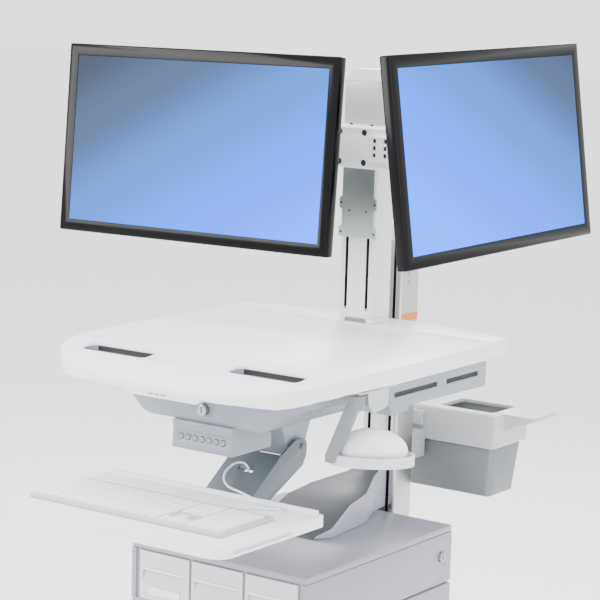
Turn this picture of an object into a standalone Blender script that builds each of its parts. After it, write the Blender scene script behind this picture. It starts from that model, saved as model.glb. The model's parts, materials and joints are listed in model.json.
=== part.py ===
"""A height-adjustable medication cart: a rolling base and mast, a drawer cabinet, a worktop
on a lift, a keyboard arm and tray, a mouse holder, a rear bin and two monitors on a crossbar.

Metres, +Z up. The cart faces -Y and its right-hand side is +X. X = 0 is the middle plane of the
mast, and Y = 0 is the seam between the worktop and the rear deck, until stand_on_origin()
moves the whole cart so that the origin is on the floor under the middle of its outline.
"""

import math

import bmesh
import bpy
from mathutils import Matrix, Vector

# ---------------------------------------------------------------- driving dimensions, in metres
GAP = 0.0003  # left between solids that touch
RUN = 0.0006  # running clearance between pieces that slide or turn

WHEEL_RADIUS = 0.050
WHEEL_WIDTH = 0.028
WHEEL_SIDES = 24
AXLE_RADIUS = 0.006
FORK_WALL = 0.004
FORK_HEAD = 0.008
CASTER_TRAIL = 0.030
CASTER_X = 0.185
CASTER_FRONT_Y = -0.375
CASTER_REAR_Y = 0.105
SWIVEL_RADIUS = 0.009

BASE_THICKNESS = 0.042
BASE_ARM_WIDTH = 0.075
BASE_SPINE_WIDTH = 0.130
POWER_WIDTH = 0.270
POWER_DEPTH = 0.330
POWER_HEIGHT = 0.120

MAST_WIDTH = 0.0736
MAST_DEPTH = 0.061
MAST_FRONT_Y = 0.078
MAST_ABOVE_WORKTOP = 0.144
MAST_CAP_HEIGHT = 0.028
GROOVE_WIDTH = 0.006
GROOVE_DEPTH = 0.009
GROOVE_SPACING = 0.044

CABINET_WIDTH = 0.364
CABINET_DEPTH = 0.452
CABINET_FRONT_Y = -0.405
CABINET_BOTTOM = 0.402
CABINET_WALL = 0.017
CABINET_FLOOR = 0.006
MODULE_PITCH = 0.094
LID_THICKNESS = 0.012
PARTITION = 0.004
DRAWER_ROWS = 2
DRAWER_COLUMNS = 3
DRAWER_WALL = 0.0025
DRAWER_FACE = 0.012
DRAWER_PULL = 0.006
DRAWER_PLAY = 0.001
LOCK_RADIUS = 0.009

WORKTOP_ABOVE_CABINET = 0.348
WORKTOP_HALF_WIDTH = 0.287
WORKTOP_THICKNESS = 0.027
WORKTOP_CORNER = 0.120
WORKTOP_NOSE_Y = -0.573
WORKTOP_LIP = 0.046
DECK_FRONT_Y = -0.018
DECK_BACK_Y = 0.074
DECK_SIDE_Y = 0.036
DECK_RISE = 0.0025
HANDLE_HALF_LENGTH = 0.068
HANDLE_DEPTH = 0.038
HANDLE_X = 0.151
HANDLE_Y = -0.484

HOUSING_FRONT_Y = -0.448
HOUSING_BACK_Y = 0.020
HOUSING_HALF_TOP = 0.205
HOUSING_HALF_BOTTOM = 0.114
HOUSING_BOTTOM = 0.112
HOUSING_WALL = 0.004
POD_HALF_WIDTH = 0.040
SIDE_HALF_WIDTH = 0.252
SIDE_DROP = 0.083
SIDE_SLOT_DEPTH = 0.0035
KEYPAD_HALF_WIDTH = 0.061
KEYPAD_FRONT_Y = -0.456
KEYPAD_BACK_Y = -0.345
KEYPAD_BOTTOM = 0.160
BUTTON_COUNT = 7
BUTTON_PITCH = 0.0143
BUTTON_RADIUS = 0.0052
BUTTON_TRAVEL = 0.0015
BUTTON_Z = 0.139

COLUMN_WIDTH = 0.0726
COLUMN_DEPTH = 0.058
COLUMN_FRONT_Y = -0.015
COLUMN_FOOT = 0.013
COLUMN_TOP = 0.430
COLUMN_CAP = 0.021

BAR_HALF_LENGTH = 0.222
BAR_HEIGHT = 0.0735
BAR_THICKNESS = 0.0295
BAR_ABOVE_WORKTOP = 0.280
PLATE_THICKNESS = 0.003
PLATE_DROP = 0.125
PAN_Y = -0.0753
PAN_PIN_RADIUS = 0.005
KNUCKLE_RADIUS = 0.015
KNUCKLE_REACH = 0.105
TILT_RADIUS = 0.011
TILT_PIN_RADIUS = 0.004

SCREEN_WIDTH = 0.520
SCREEN_HEIGHT = 0.2940
BEZEL = 0.0207
MONITOR_SLAB = 0.020
MONITOR_SCREEN_REACH = 0.045
SCREEN_INSET = 0.0015
SCREEN_THICKNESS = 0.0012

ARM_PIVOT_Y = -0.240
ARM_PIVOT_DROP = 0.178
TRAY_HINGE_Y = -0.372
TRAY_HINGE_DROP = 0.256
ARM_HALF_WIDTH = 0.049
ARM_WALL = 0.004
ARM_PIN_RADIUS = 0.005
TRAY_HALF_WIDTH = 0.2234
TRAY_BACK_Y = -0.420
TRAY_FRONT_Y = -0.692
TRAY_DROP = 0.232
TRAY_THICKNESS = 0.019
TRAY_CORNER = 0.030
TRAY_LIP = 0.006
MOUSE_TRAY_THICKNESS = 0.0045
MOUSE_TRAY_LENGTH = 0.225
MOUSE_TRAY_DEPTH = 0.150
KEYBOARD_WIDTH = 0.384
KEYBOARD_DEPTH = 0.142
KEYBOARD_HEIGHT = 0.007
KEYBOARD_X = -0.007
KEYBOARD_BACK_Y = -0.503
KEY_FIELD_HEIGHT = 0.003
CABLE_RADIUS = 0.002

HOLDER_PIN_X = 0.262
HOLDER_PIN_Y = -0.392
CUP_X = 0.262
CUP_Y = -0.352
CUP_DROP = 0.155
CUP_TURN = math.radians(33)
CUP_LENGTH = 0.138
CUP_DEPTH = 0.082
CUP_HEIGHT = 0.017
CUP_WALL = 0.004
CUP_RECESS = 0.005
MOUSE_LENGTH = 0.120
MOUSE_WIDTH = 0.064
MOUSE_HEIGHT = 0.046

BIN_LEFT_X = -0.045
BIN_RIGHT_X = 0.172
BIN_FRONT_Y = 0.196
BIN_DEPTH = 0.112
BIN_DROP = 0.330
TUB_HEIGHT = 0.090
RIM_HEIGHT = 0.066
RIM_OVERHANG = 0.009
RIM_TOP_PLATE = 0.007
MOUTH_LEFT_X = 0.048
BIN_WALL = 0.003
BIN_LIP = 0.072
HOOK_THICKNESS = 0.004

# x of the pan pin, then the angles in degrees, and the tilt axis's height above the crossbar's middle
LEFT_MONITOR = {"x": -0.2185, "pan": 4.0, "tilt": 4.5, "roll": 0.0, "lift": -0.009}
RIGHT_MONITOR = {"x": 0.1642, "pan": 87.0, "tilt": 7.3, "roll": -1.7, "lift": 0.012}

# ---------------------------------------------------------------- heights that follow from them
BASE_BOTTOM = 2 * WHEEL_RADIUS + 0.024
BASE_TOP = BASE_BOTTOM + BASE_THICKNESS
CABINET_TOP = CABINET_BOTTOM + DRAWER_ROWS * MODULE_PITCH + LID_THICKNESS
WORKTOP_TOP = CABINET_TOP + WORKTOP_ABOVE_CABINET
MAST_TOP = WORKTOP_TOP + MAST_ABOVE_WORKTOP
MAST_BACK_Y = MAST_FRONT_Y + MAST_DEPTH
CABINET_BACK_Y = CABINET_FRONT_Y + CABINET_DEPTH
BAR_BOTTOM = WORKTOP_TOP + BAR_ABOVE_WORKTOP
BAR_TOP = BAR_BOTTOM + BAR_HEIGHT
BAR_MIDDLE = (BAR_BOTTOM + BAR_TOP) / 2
BAR_BACK_Y = COLUMN_FRONT_Y - RUN
BAR_FRONT_Y = BAR_BACK_Y - BAR_THICKNESS
BIN_BOTTOM = WORKTOP_TOP - BIN_DROP

PARTS = bpy.data.collections.new("medication_cart")
CUTTERS = bpy.data.collections.new("cutters")
PLACES = {}
MATERIALS = {}

# name: (base colour, roughness, metallic)
FINISHES = {
    "white_plastic": ((0.86, 0.87, 0.89), 0.40, 0.0),
    "pale_plastic": ((0.74, 0.77, 0.82), 0.45, 0.0),
    "blue_grey_plastic": ((0.52, 0.58, 0.66), 0.45, 0.0),
    "cabinet_grey": ((0.62, 0.66, 0.72), 0.42, 0.0),
    "drawer_plastic": ((0.76, 0.78, 0.81), 0.35, 0.0),
    "dark_shroud": ((0.36, 0.38, 0.42), 0.50, 0.0),
    "bin_grey": ((0.45, 0.47, 0.50), 0.45, 0.0),
    "black_gloss": ((0.012, 0.012, 0.014), 0.18, 0.0),
    "screen": ((0.10, 0.30, 0.62), 0.15, 0.0),
    "mast_aluminium": ((0.72, 0.71, 0.68), 0.38, 1.0),
    "bracket_steel": ((0.58, 0.63, 0.61), 0.35, 1.0),
    "lock_steel": ((0.45, 0.45, 0.46), 0.28, 1.0),
    "base_metal": ((0.60, 0.62, 0.65), 0.45, 1.0),
    "dark_rubber": ((0.03, 0.03, 0.035), 0.75, 0.0),
}


# ---------------------------------------------------------------- tools
def clear_scene():
    for item in list(bpy.data.objects):
        bpy.data.objects.remove(item, do_unlink=True)
    for collection in (PARTS, CUTTERS):
        bpy.context.scene.collection.children.link(collection)


def finish(name):
    """The named finish as a material, made the first time it is asked for."""
    if name not in MATERIALS:
        colour, roughness, metallic = FINISHES[name]
        material = bpy.data.materials.new(name)
        material.use_nodes = True
        shader = material.node_tree.nodes["Principled BSDF"]
        shader.inputs["Base Color"].default_value = (*colour, 1.0)
        shader.inputs["Roughness"].default_value = roughness
        shader.inputs["Metallic"].default_value = metallic
        MATERIALS[name] = material
    return MATERIALS[name]


def make_object(name, mesh, look):
    """A part when it has a look, and a cutter when its look is None."""
    made = bpy.data.objects.new(name, mesh)
    if look is None:
        CUTTERS.objects.link(made)
        made.hide_render = True
        made.display_type = "WIRE"
    else:
        PARTS.objects.link(made)
        mesh.materials.append(finish(look))
    return made


def add_bevel(made, width, segments=1, angle=30):
    bevel = made.modifiers.new("rounded edges", "BEVEL")
    bevel.width = width
    bevel.segments = segments
    bevel.limit_method = "ANGLE"
    bevel.angle_limit = math.radians(angle)
    return made


def box(name, x, y, z, look=None, bevel=0.0, segments=1):
    """A box between the two ends of each range, with its edges rounded by bevel."""
    shape = bmesh.new()
    middle = Vector(((x[0] + x[1]) / 2, (y[0] + y[1]) / 2, (z[0] + z[1]) / 2))
    size = Matrix.Diagonal((x[1] - x[0], y[1] - y[0], z[1] - z[0], 1.0))
    bmesh.ops.create_cube(shape, size=1.0, matrix=Matrix.Translation(middle) @ size)
    mesh = bpy.data.meshes.new(name)
    shape.to_mesh(mesh)
    shape.free()
    made = make_object(name, mesh, look)
    return add_bevel(made, bevel, segments) if bevel else made


def rod(name, start, end, radius, look=None, sides=20, end_radius=None):
    """A round bar, or a cone where end_radius differs, from start to end."""
    start, end = Vector(start), Vector(end)
    along = end - start
    turn = along.to_track_quat("Z", "Y").to_matrix().to_4x4()
    shape = bmesh.new()
    bmesh.ops.create_cone(
        shape,
        cap_ends=True,
        segments=sides,
        radius1=radius,
        radius2=radius if end_radius is None else end_radius,
        depth=along.length,
        matrix=Matrix.Translation((start + end) / 2) @ turn,
    )
    mesh = bpy.data.meshes.new(name)
    shape.to_mesh(mesh)
    shape.free()
    mesh.shade_smooth()
    mesh.set_sharp_from_angle(angle=math.radians(40))
    return make_object(name, mesh, look)


def as_mesh(curve_object, name, look):
    """The curve object as a welded mesh object in the same place."""
    CUTTERS.objects.link(curve_object)
    bpy.context.view_layer.update()
    graph = bpy.context.evaluated_depsgraph_get()
    mesh = bpy.data.meshes.new_from_object(curve_object.evaluated_get(graph))
    place = curve_object.matrix_world.copy()
    bpy.data.objects.remove(curve_object, do_unlink=True)
    shape = bmesh.new()
    shape.from_mesh(mesh)
    bmesh.ops.remove_doubles(shape, verts=shape.verts, dist=0.00001)
    bmesh.ops.recalc_face_normals(shape, faces=shape.faces)
    bmesh.ops.transform(shape, matrix=place, verts=shape.verts)
    shape.to_mesh(mesh)
    shape.free()
    mesh.materials.clear()
    return make_object(name, mesh, look)


# how a flat outline's two directions and its thickness lie, for each axis it is extruded along
OUTLINE_AXES = {
    "X": Matrix(((0, 0, 1), (1, 0, 0), (0, 1, 0))),
    "Y": Matrix(((1, 0, 0), (0, 0, -1), (0, 1, 0))),
    "Z": Matrix(((1, 0, 0), (0, 1, 0), (0, 0, 1))),
}


def extrusion(name, outline, axis, low, high, look=None, bevel=0.0, segments=1):
    """A flat outline, given as (y, z), (x, z) or (x, y), made solid from low to high along axis."""
    curve = bpy.data.curves.new(name, "CURVE")
    curve.dimensions = "2D"
    curve.fill_mode = "BOTH"
    curve.extrude = (high - low) / 2
    spline = curve.splines.new("POLY")
    spline.points.add(len(outline) - 1)
    for point, (u, v) in zip(spline.points, outline):
        point.co = (u, v, 0.0, 1.0)
    spline.use_cyclic_u = True
    made = bpy.data.objects.new(name, curve)
    middle = Vector([(low + high) / 2 if letter == axis else 0.0 for letter in "XYZ"])
    made.matrix_world = Matrix.Translation(middle) @ OUTLINE_AXES[axis].to_4x4()
    made = as_mesh(made, name, look)
    return add_bevel(made, bevel, segments) if bevel else made


def rounded(corners, steps=4):
    """An outline from (u, v, radius) corners, each rounded by an arc of that radius."""
    outline = []
    count = len(corners)
    for index, (u, v, radius) in enumerate(corners):
        here = Vector((u, v))
        if radius <= 0:
            outline.append((u, v))
            continue
        before = (Vector(corners[index - 1][:2]) - here).normalized()
        after = (Vector(corners[(index + 1) % count][:2]) - here).normalized()
        half = before.angle(after) / 2
        centre = here + (before + after).normalized() * (radius / math.sin(half))
        first = here + before * (radius / math.tan(half)) - centre
        last = here + after * (radius / math.tan(half)) - centre
        sweep = first.angle_signed(last)
        for step in range(steps + 1):
            angle = -sweep * step / steps
            spun = Matrix.Rotation(angle, 2) @ first
            outline.append(tuple(centre + spun))
    return outline


def mirrored(right_side):
    """A closed outline from its right half, given from one end of the middle line to the other."""
    return right_side + [(-u, v) for u, v in reversed(right_side) if abs(u) > 1e-6]


def turned(name, profile, centre, look, sides=24, axis="X"):
    """A ring turned about an axis through centre, from (along, radius) points."""
    mesh = bpy.data.meshes.new(name)
    shape = bmesh.new()
    corners = [shape.verts.new((radius, 0.0, along)) for along, radius in profile]
    for first, second in zip(corners, corners[1:] + corners[:1]):
        shape.edges.new((first, second))
    # Half a step round, so that a flat of the turned shape points down.
    half_step = Matrix.Rotation(math.pi / sides, 4, "Z")
    shape.transform(half_step)
    shape.to_mesh(mesh)
    shape.free()
    made = make_object(name, mesh, look)
    screw = made.modifiers.new("turned", "SCREW")
    screw.axis = "Z"
    screw.steps = sides
    screw.render_steps = sides
    screw.use_merge_vertices = True
    screw.merge_threshold = 0.00001
    screw.use_smooth_shade = True
    turn = Matrix.Rotation(math.radians(90), 4, "Y") if axis == "X" else Matrix.Identity(4)
    made.matrix_world = Matrix.Translation(Vector(centre)) @ turn
    return made


def boolean(made, tool, operation):
    step = made.modifiers.new(operation.lower() + " " + tool.name, "BOOLEAN")
    step.operation = operation
    step.solver = "EXACT"
    step.object = tool
    return made


def cut(made, *tools):
    for tool in tools:
        boolean(made, tool, "DIFFERENCE")
    return made


def join(made, *tools):
    for tool in tools:
        boolean(made, tool, "UNION")
    return made


def trim(made, tool):
    return boolean(made, tool, "INTERSECT")


def pivot(name, place, parent=None, turn=None):
    """An empty on a joint's axis. place is in the cart's frame, or in the parent's if turned."""
    empty = bpy.data.objects.new(name, None)
    empty.empty_display_size = 0.03
    PARTS.objects.link(empty)
    matrix = Matrix.Translation(Vector(place)) @ (turn or Matrix.Identity(4))
    PLACES[name] = matrix
    empty.matrix_world = matrix
    if parent:
        empty.parent = parent
        empty.matrix_parent_inverse = PLACES[parent.name].inverted()
    return empty


def tools_of(made):
    return [step.object for step in made.modifiers if step.type == "BOOLEAN"]


def attach(empty, *pieces):
    """Parents pieces, and the cutters that shape them, to an empty without moving them."""
    for piece in pieces:
        for tool in tools_of(piece):
            if tool.parent is None:
                attach(empty, tool)
        piece.parent = empty
        piece.matrix_parent_inverse = PLACES[empty.name].inverted()


def place_on(empty, *pieces):
    """Parents pieces that were modelled about the empty's own origin."""
    for piece in pieces:
        for tool in tools_of(piece):
            tool.parent = empty
        piece.parent = empty


def span(middle, half):
    return (middle - half, middle + half)


# ---------------------------------------------------------------- base and casters
def make_base(cart):
    half = CASTER_X + BASE_ARM_WIDTH / 2
    spine = BASE_SPINE_WIDTH / 2
    front = CASTER_FRONT_Y - BASE_ARM_WIDTH / 2
    rear = CASTER_REAR_Y + BASE_ARM_WIDTH / 2
    inner_front = front + BASE_ARM_WIDTH
    inner_rear = rear - BASE_ARM_WIDTH
    round_corner = BASE_ARM_WIDTH * 0.42
    right = [
        (half, front, round_corner),
        (half, inner_front, round_corner),
        (spine, inner_front + 0.012, 0.030),
        (spine, inner_rear - 0.012, 0.030),
        (half, inner_rear, round_corner),
        (half, rear, round_corner),
    ]
    left = [(-u, v, radius) for u, v, radius in reversed(right)]
    outline = rounded(right + left)
    frame = extrusion("base_frame", outline, "Z", BASE_BOTTOM, BASE_TOP, "base_metal", 0.005)
    power_front = MAST_FRONT_Y - 0.012 - POWER_DEPTH
    power = box(
        "power_module",
        span(0.0, POWER_WIDTH / 2),
        (power_front, power_front + POWER_DEPTH),
        (BASE_TOP + GAP, BASE_TOP + GAP + POWER_HEIGHT),
        "pale_plastic",
        0.014,
        2,
    )
    vents = [
        box(
            f"power_vent_{row}",
            span(0.0, POWER_WIDTH * 0.3),
            (power_front - 0.01, power_front + 0.003),
            span(BASE_TOP + 0.030 + 0.012 * row, 0.0025),
        )
        for row in range(3)
    ]
    cut(power, *vents)
    attach(cart, frame, power)


def make_caster(cart, side, end, x, y):
    """A swivel fork with an axle, and a wheel on it. The wheel trails towards +Y at rest."""
    name = f"{end}_{side}"
    wheel_y = y + CASTER_TRAIL
    inner = WHEEL_WIDTH / 2 + RUN * 3
    outer = inner + FORK_WALL
    head_bottom = 2 * WHEEL_RADIUS + 0.006
    head_top = head_bottom + FORK_HEAD
    arm = 0.016
    cheek = rounded(
        [
            (y - 0.024, head_top, 0.004),
            (y - 0.024, head_bottom - 0.008, 0.004),
            (wheel_y - arm, WHEEL_RADIUS - arm * 0.6, arm * 0.6),
            (wheel_y + arm, WHEEL_RADIUS - arm * 0.6, arm * 0.6),
            (wheel_y + 0.030, head_bottom - 0.012, 0.006),
            (wheel_y + 0.030, head_top, 0.004),
        ],
        3,
    )
    fork = extrusion(f"caster_fork_{name}", cheek, "X", x - outer, x + outer, "base_metal")
    slot = box(
        f"fork_slot_{name}",
        span(x, inner),
        (y - 0.06, wheel_y + 0.06),
        (-0.02, head_bottom),
    )
    cut(fork, slot)
    axle = rod(
        f"axle_{name}",
        (x - outer - 0.001, wheel_y, WHEEL_RADIUS),
        (x + outer + 0.001, wheel_y, WHEEL_RADIUS),
        AXLE_RADIUS,
        sides=16,
    )
    stem = rod(f"stem_{name}", (x, y, head_top - 0.002), (x, y, BASE_BOTTOM - RUN), 0.016)
    join(fork, axle, stem)
    half = WHEEL_WIDTH / 2
    bore = AXLE_RADIUS + RUN
    flat = WHEEL_RADIUS / math.cos(math.pi / WHEEL_SIDES)
    profile = [
        (half, bore),
        (half, 0.012),
        (half - 0.006, 0.016),
        (half - 0.006, 0.034),
        (half - 0.001, 0.038),
        (half * 0.55, flat),
        (-half * 0.55, flat),
        (-half + 0.001, 0.038),
        (-half + 0.006, 0.034),
        (-half + 0.006, 0.016),
        (-half, 0.012),
        (-half, bore),
    ]
    wheel = turned(
        f"wheel_{name}", profile, (x, wheel_y, WHEEL_RADIUS), "dark_rubber", WHEEL_SIDES
    )
    swivel = pivot(f"swivel_{name}", (x, y, BASE_BOTTOM), cart)
    spin = pivot(f"spin_{name}", (x, wheel_y, WHEEL_RADIUS), swivel)
    attach(spin, wheel)
    if end == "front":
        hinge_y = wheel_y + 0.040
        hinge_z = head_bottom - 0.004
        ear = rod(
            f"pedal_ear_{name}",
            (x - outer, hinge_y, hinge_z),
            (x + outer, hinge_y, hinge_z),
            0.0028,
            sides=12,
        )
        lugs = [
            box(
                f"pedal_lug_{name}_{index}",
                (low, low + FORK_WALL - 0.001),
                (wheel_y + 0.024, hinge_y + 0.005),
                (hinge_z - 0.005, head_top - 0.001),
            )
            for index, low in enumerate((x - outer + 0.0005, x + inner + 0.0005))
        ]
        join(fork, *lugs, ear)
        barrel = rod(
            f"brake_pedal_{side}",
            (x - inner + RUN, hinge_y, hinge_z),
            (x + inner - RUN, hinge_y, hinge_z),
            0.0062,
            "blue_grey_plastic",
            16,
        )
        tread = box(
            f"pedal_tread_{side}",
            span(x, inner - RUN),
            (hinge_y + 0.001, hinge_y + 0.042),
            (hinge_z - 0.0058, hinge_z + 0.0012),
            bevel=0.002,
        )
        bore_tool = rod(
            f"pedal_bore_{side}",
            (x - outer, hinge_y, hinge_z),
            (x + outer, hinge_y, hinge_z),
            0.0028 + RUN,
            sides=12,
        )
        join(barrel, tread)
        cut(barrel, bore_tool)
        attach(pivot(f"pedal_{side}", (x, hinge_y, hinge_z), swivel), barrel)
    attach(swivel, fork)


# ---------------------------------------------------------------- mast
def grooved_outline(width, depth, front, round_corner):
    """A plan of a post with two guide grooves in its front face."""
    half = width / 2
    back = front + depth
    groove = GROOVE_WIDTH / 2
    middle = GROOVE_SPACING / 2
    right = [
        (middle - groove, front, 0.0),
        (middle - groove, front + GROOVE_DEPTH, 0.0),
        (middle + groove, front + GROOVE_DEPTH, 0.0),
        (middle + groove, front, 0.0),
        (half, front, round_corner),
        (half, back, round_corner),
    ]
    left = [(-u, v, radius) for u, v, radius in reversed(right)]
    return rounded(right + left, 3)


def make_mast(cart):
    outline = grooved_outline(MAST_WIDTH, MAST_DEPTH, MAST_FRONT_Y, 0.006)
    mast = extrusion("mast", outline, "Z", BASE_TOP + GAP, MAST_TOP, "mast_aluminium")
    half = MAST_WIDTH / 2
    core = box(
        "mast_core",
        span(0.0, half - 0.004),
        (MAST_FRONT_Y + GROOVE_DEPTH + 0.003, MAST_BACK_Y - 0.004),
        (BASE_TOP - 0.01, MAST_TOP + 0.01),
    )
    cut(mast, core)
    cap_outline = rounded(
        [
            (half, MAST_FRONT_Y, 0.006),
            (half, MAST_BACK_Y, 0.006),
            (-half, MAST_BACK_Y, 0.006),
            (-half, MAST_FRONT_Y, 0.006),
        ],
        3,
    )
    cap_bottom = MAST_TOP + GAP
    cap = extrusion(
        "mast_cap", cap_outline, "Z", cap_bottom, cap_bottom + MAST_CAP_HEIGHT, "white_plastic"
    )
    add_bevel(cap, 0.002, 1, 50)
    attach(cart, mast, cap)


# ---------------------------------------------------------------- drawer cabinet
def drawer_pitch():
    return (CABINET_WIDTH - 2 * CABINET_WALL + PARTITION) / DRAWER_COLUMNS


def drawer_middle(column):
    return (column - (DRAWER_COLUMNS - 1) / 2) * drawer_pitch()


def make_module(cart, row):
    """One drawer housing, row 0 at the bottom, with a bay for each drawer."""
    bottom = CABINET_BOTTOM + row * MODULE_PITCH
    top = bottom + MODULE_PITCH - GAP
    half = CABINET_WIDTH / 2
    edge = 0.008
    section = rounded(
        [(half, bottom, edge), (half, top, 0.0015), (-half, top, 0.0015), (-half, bottom, edge)], 2
    )
    name = f"drawer_housing_{row + 1}"
    housing = extrusion(name, section, "Y", CABINET_FRONT_Y, CABINET_BACK_Y, "cabinet_grey")
    front_cut = box(
        f"front_recess_{row}",
        span(0.0, half - CABINET_WALL * 0.55),
        (CABINET_FRONT_Y - 0.01, CABINET_FRONT_Y + 0.004),
        (bottom + CABINET_FLOOR, top + 0.01),
    )
    cut(housing, front_cut)
    bay_width = drawer_pitch() - PARTITION
    for column in range(DRAWER_COLUMNS):
        middle = drawer_middle(column)
        bay = box(
            f"bay_{row}_{column}",
            span(middle, bay_width / 2),
            (CABINET_FRONT_Y - 0.01, CABINET_BACK_Y - 0.006),
            (bottom + CABINET_FLOOR, top - 0.002),
        )
        cut(housing, bay)
        make_drawer(cart, row, column, middle, bay_width, bottom + CABINET_FLOOR, top - 0.002)
    attach(cart, housing)
    return housing


def make_drawer(cart, row, column, middle, bay_width, bay_bottom, bay_top):
    half = bay_width / 2 - DRAWER_PLAY
    bottom = bay_bottom + GAP
    top = bay_top - DRAWER_PLAY
    front = CABINET_FRONT_Y + 0.0005
    back = CABINET_BACK_Y - 0.006 - DRAWER_PLAY * 2
    number = row * DRAWER_COLUMNS + column + 1
    tray = box(
        f"drawer_{number}", span(middle, half), (front, back), (bottom, top), "drawer_plastic"
    )
    hollow = box(
        f"drawer_hollow_{number}",
        span(middle, half - DRAWER_WALL),
        (front + DRAWER_FACE, back - DRAWER_WALL),
        (bottom + DRAWER_WALL, top + 0.01),
    )
    lip_z = bottom + (top - bottom) * 0.62
    pull = extrusion(
        f"drawer_pull_{number}",
        [
            (front - 0.01, lip_z),
            (front - 0.01, lip_z - 0.020),
            (front, lip_z - 0.020),
            (front + DRAWER_PULL, lip_z - 0.004),
            (front + DRAWER_PULL, lip_z),
        ],
        "X",
        middle - half + 0.006,
        middle + half - 0.006,
    )
    cut(tray, hollow, pull)
    slide = pivot(f"drawer_slide_{number}", (middle, front, (bottom + top) / 2), cart)
    attach(slide, tray)


def make_cabinet(cart):
    housings = [make_module(cart, row) for row in range(DRAWER_ROWS)]
    half = CABINET_WIDTH / 2
    lid = box(
        "cabinet_lid",
        span(0.0, half),
        (CABINET_FRONT_Y, CABINET_BACK_Y),
        (CABINET_TOP - LID_THICKNESS, CABINET_TOP),
        "cabinet_grey",
        0.003,
        2,
    )
    bracket = box(
        "cabinet_bracket",
        span(0.0, 0.060),
        (CABINET_BACK_Y + GAP, MAST_FRONT_Y - GAP),
        (CABINET_BOTTOM + 0.01, CABINET_TOP - 0.01),
        "base_metal",
        0.002,
    )
    lock_y = CABINET_BACK_Y - 0.035
    lock_z = CABINET_TOP - 0.052
    plug_end = half + 0.0045
    plug = rod(
        "cabinet_lock",
        (half - 0.010, lock_y, lock_z),
        (plug_end, lock_y, lock_z),
        LOCK_RADIUS,
        "lock_steel",
        24,
    )
    key_slot = box(
        "cabinet_key_slot",
        (plug_end - 0.003, plug_end + 0.01),
        span(lock_y, 0.0012),
        span(lock_z, 0.0050),
    )
    cut(plug, key_slot)
    barrel_hole = rod(
        "cabinet_lock_hole",
        (half - 0.010 - GAP, lock_y, lock_z),
        (half + 0.010, lock_y, lock_z),
        LOCK_RADIUS + RUN,
        sides=24,
    )
    cut(housings[-1], barrel_hole)
    attach(pivot("cabinet_lock_turn", (half, lock_y, lock_z), cart), plug)
    attach(cart, housings[-1], lid, bracket)
    make_shroud(cart)


def make_shroud(cart):
    """A sloping cover on the lid, in front of the mast, narrowing to the mast's width."""
    base = CABINET_TOP + GAP
    back = MAST_FRONT_Y - GAP
    half = 0.073
    neck = GROOVE_SPACING / 2 - GROOVE_WIDTH / 2 - 0.001
    profile = [
        (-0.205, base),
        (-0.200, base + 0.006),
        (-0.110, base + 0.046),
        (-0.060, base + 0.053),
        (back - 0.050, base + 0.070),
        (back, base + 0.086),
        (back, base),
    ]
    shroud = extrusion("column_shroud", profile, "X", -0.1, 0.1, "dark_shroud")
    right = [
        (0.052, -0.210),
        (half, -0.175),
        (half - 0.012, -0.050),
        (neck + 0.012, 0.022),
        (neck, back + 0.01),
    ]
    plan = extrusion("shroud_plan", mirrored(right), "Z", base - 0.01, base + 0.2)
    trim(shroud, plan)
    attach(cart, shroud)


# ---------------------------------------------------------------- rear bin
def tapered_box(name, y, top, inset, look, bevel):
    """The tub's outside, or its inside when inset by a wall, narrower towards the bottom."""
    made = box(
        name,
        (BIN_LEFT_X + inset, BIN_RIGHT_X - inset),
        (y[0] + inset, y[1] - inset),
        (BIN_BOTTOM + inset, top),
        look,
    )
    middle = (BIN_LEFT_X + BIN_RIGHT_X) / 2
    for vertex in made.data.vertices:
        if vertex.co.z < BIN_BOTTOM + 0.01:
            vertex.co.x = middle + (vertex.co.x - middle) * 0.965
            vertex.co.y = y[0] + (vertex.co.y - y[0]) * 0.84 + 0.001
    weights = made.data.attributes.new("bevel_weight_edge", "FLOAT", "EDGE")
    for edge in made.data.edges:
        ends = [made.data.vertices[index].co.z for index in edge.vertices]
        upright = abs(ends[0] - ends[1]) > 0.01
        low = max(ends) < BIN_BOTTOM + 0.01
        weights.data[edge.index].value = 1.0 if upright else (0.3 if low else 0.0)
    step = made.modifiers.new("rounded corners", "BEVEL")
    step.limit_method = "WEIGHT"
    step.width = bevel
    step.segments = 3
    return made


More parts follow.
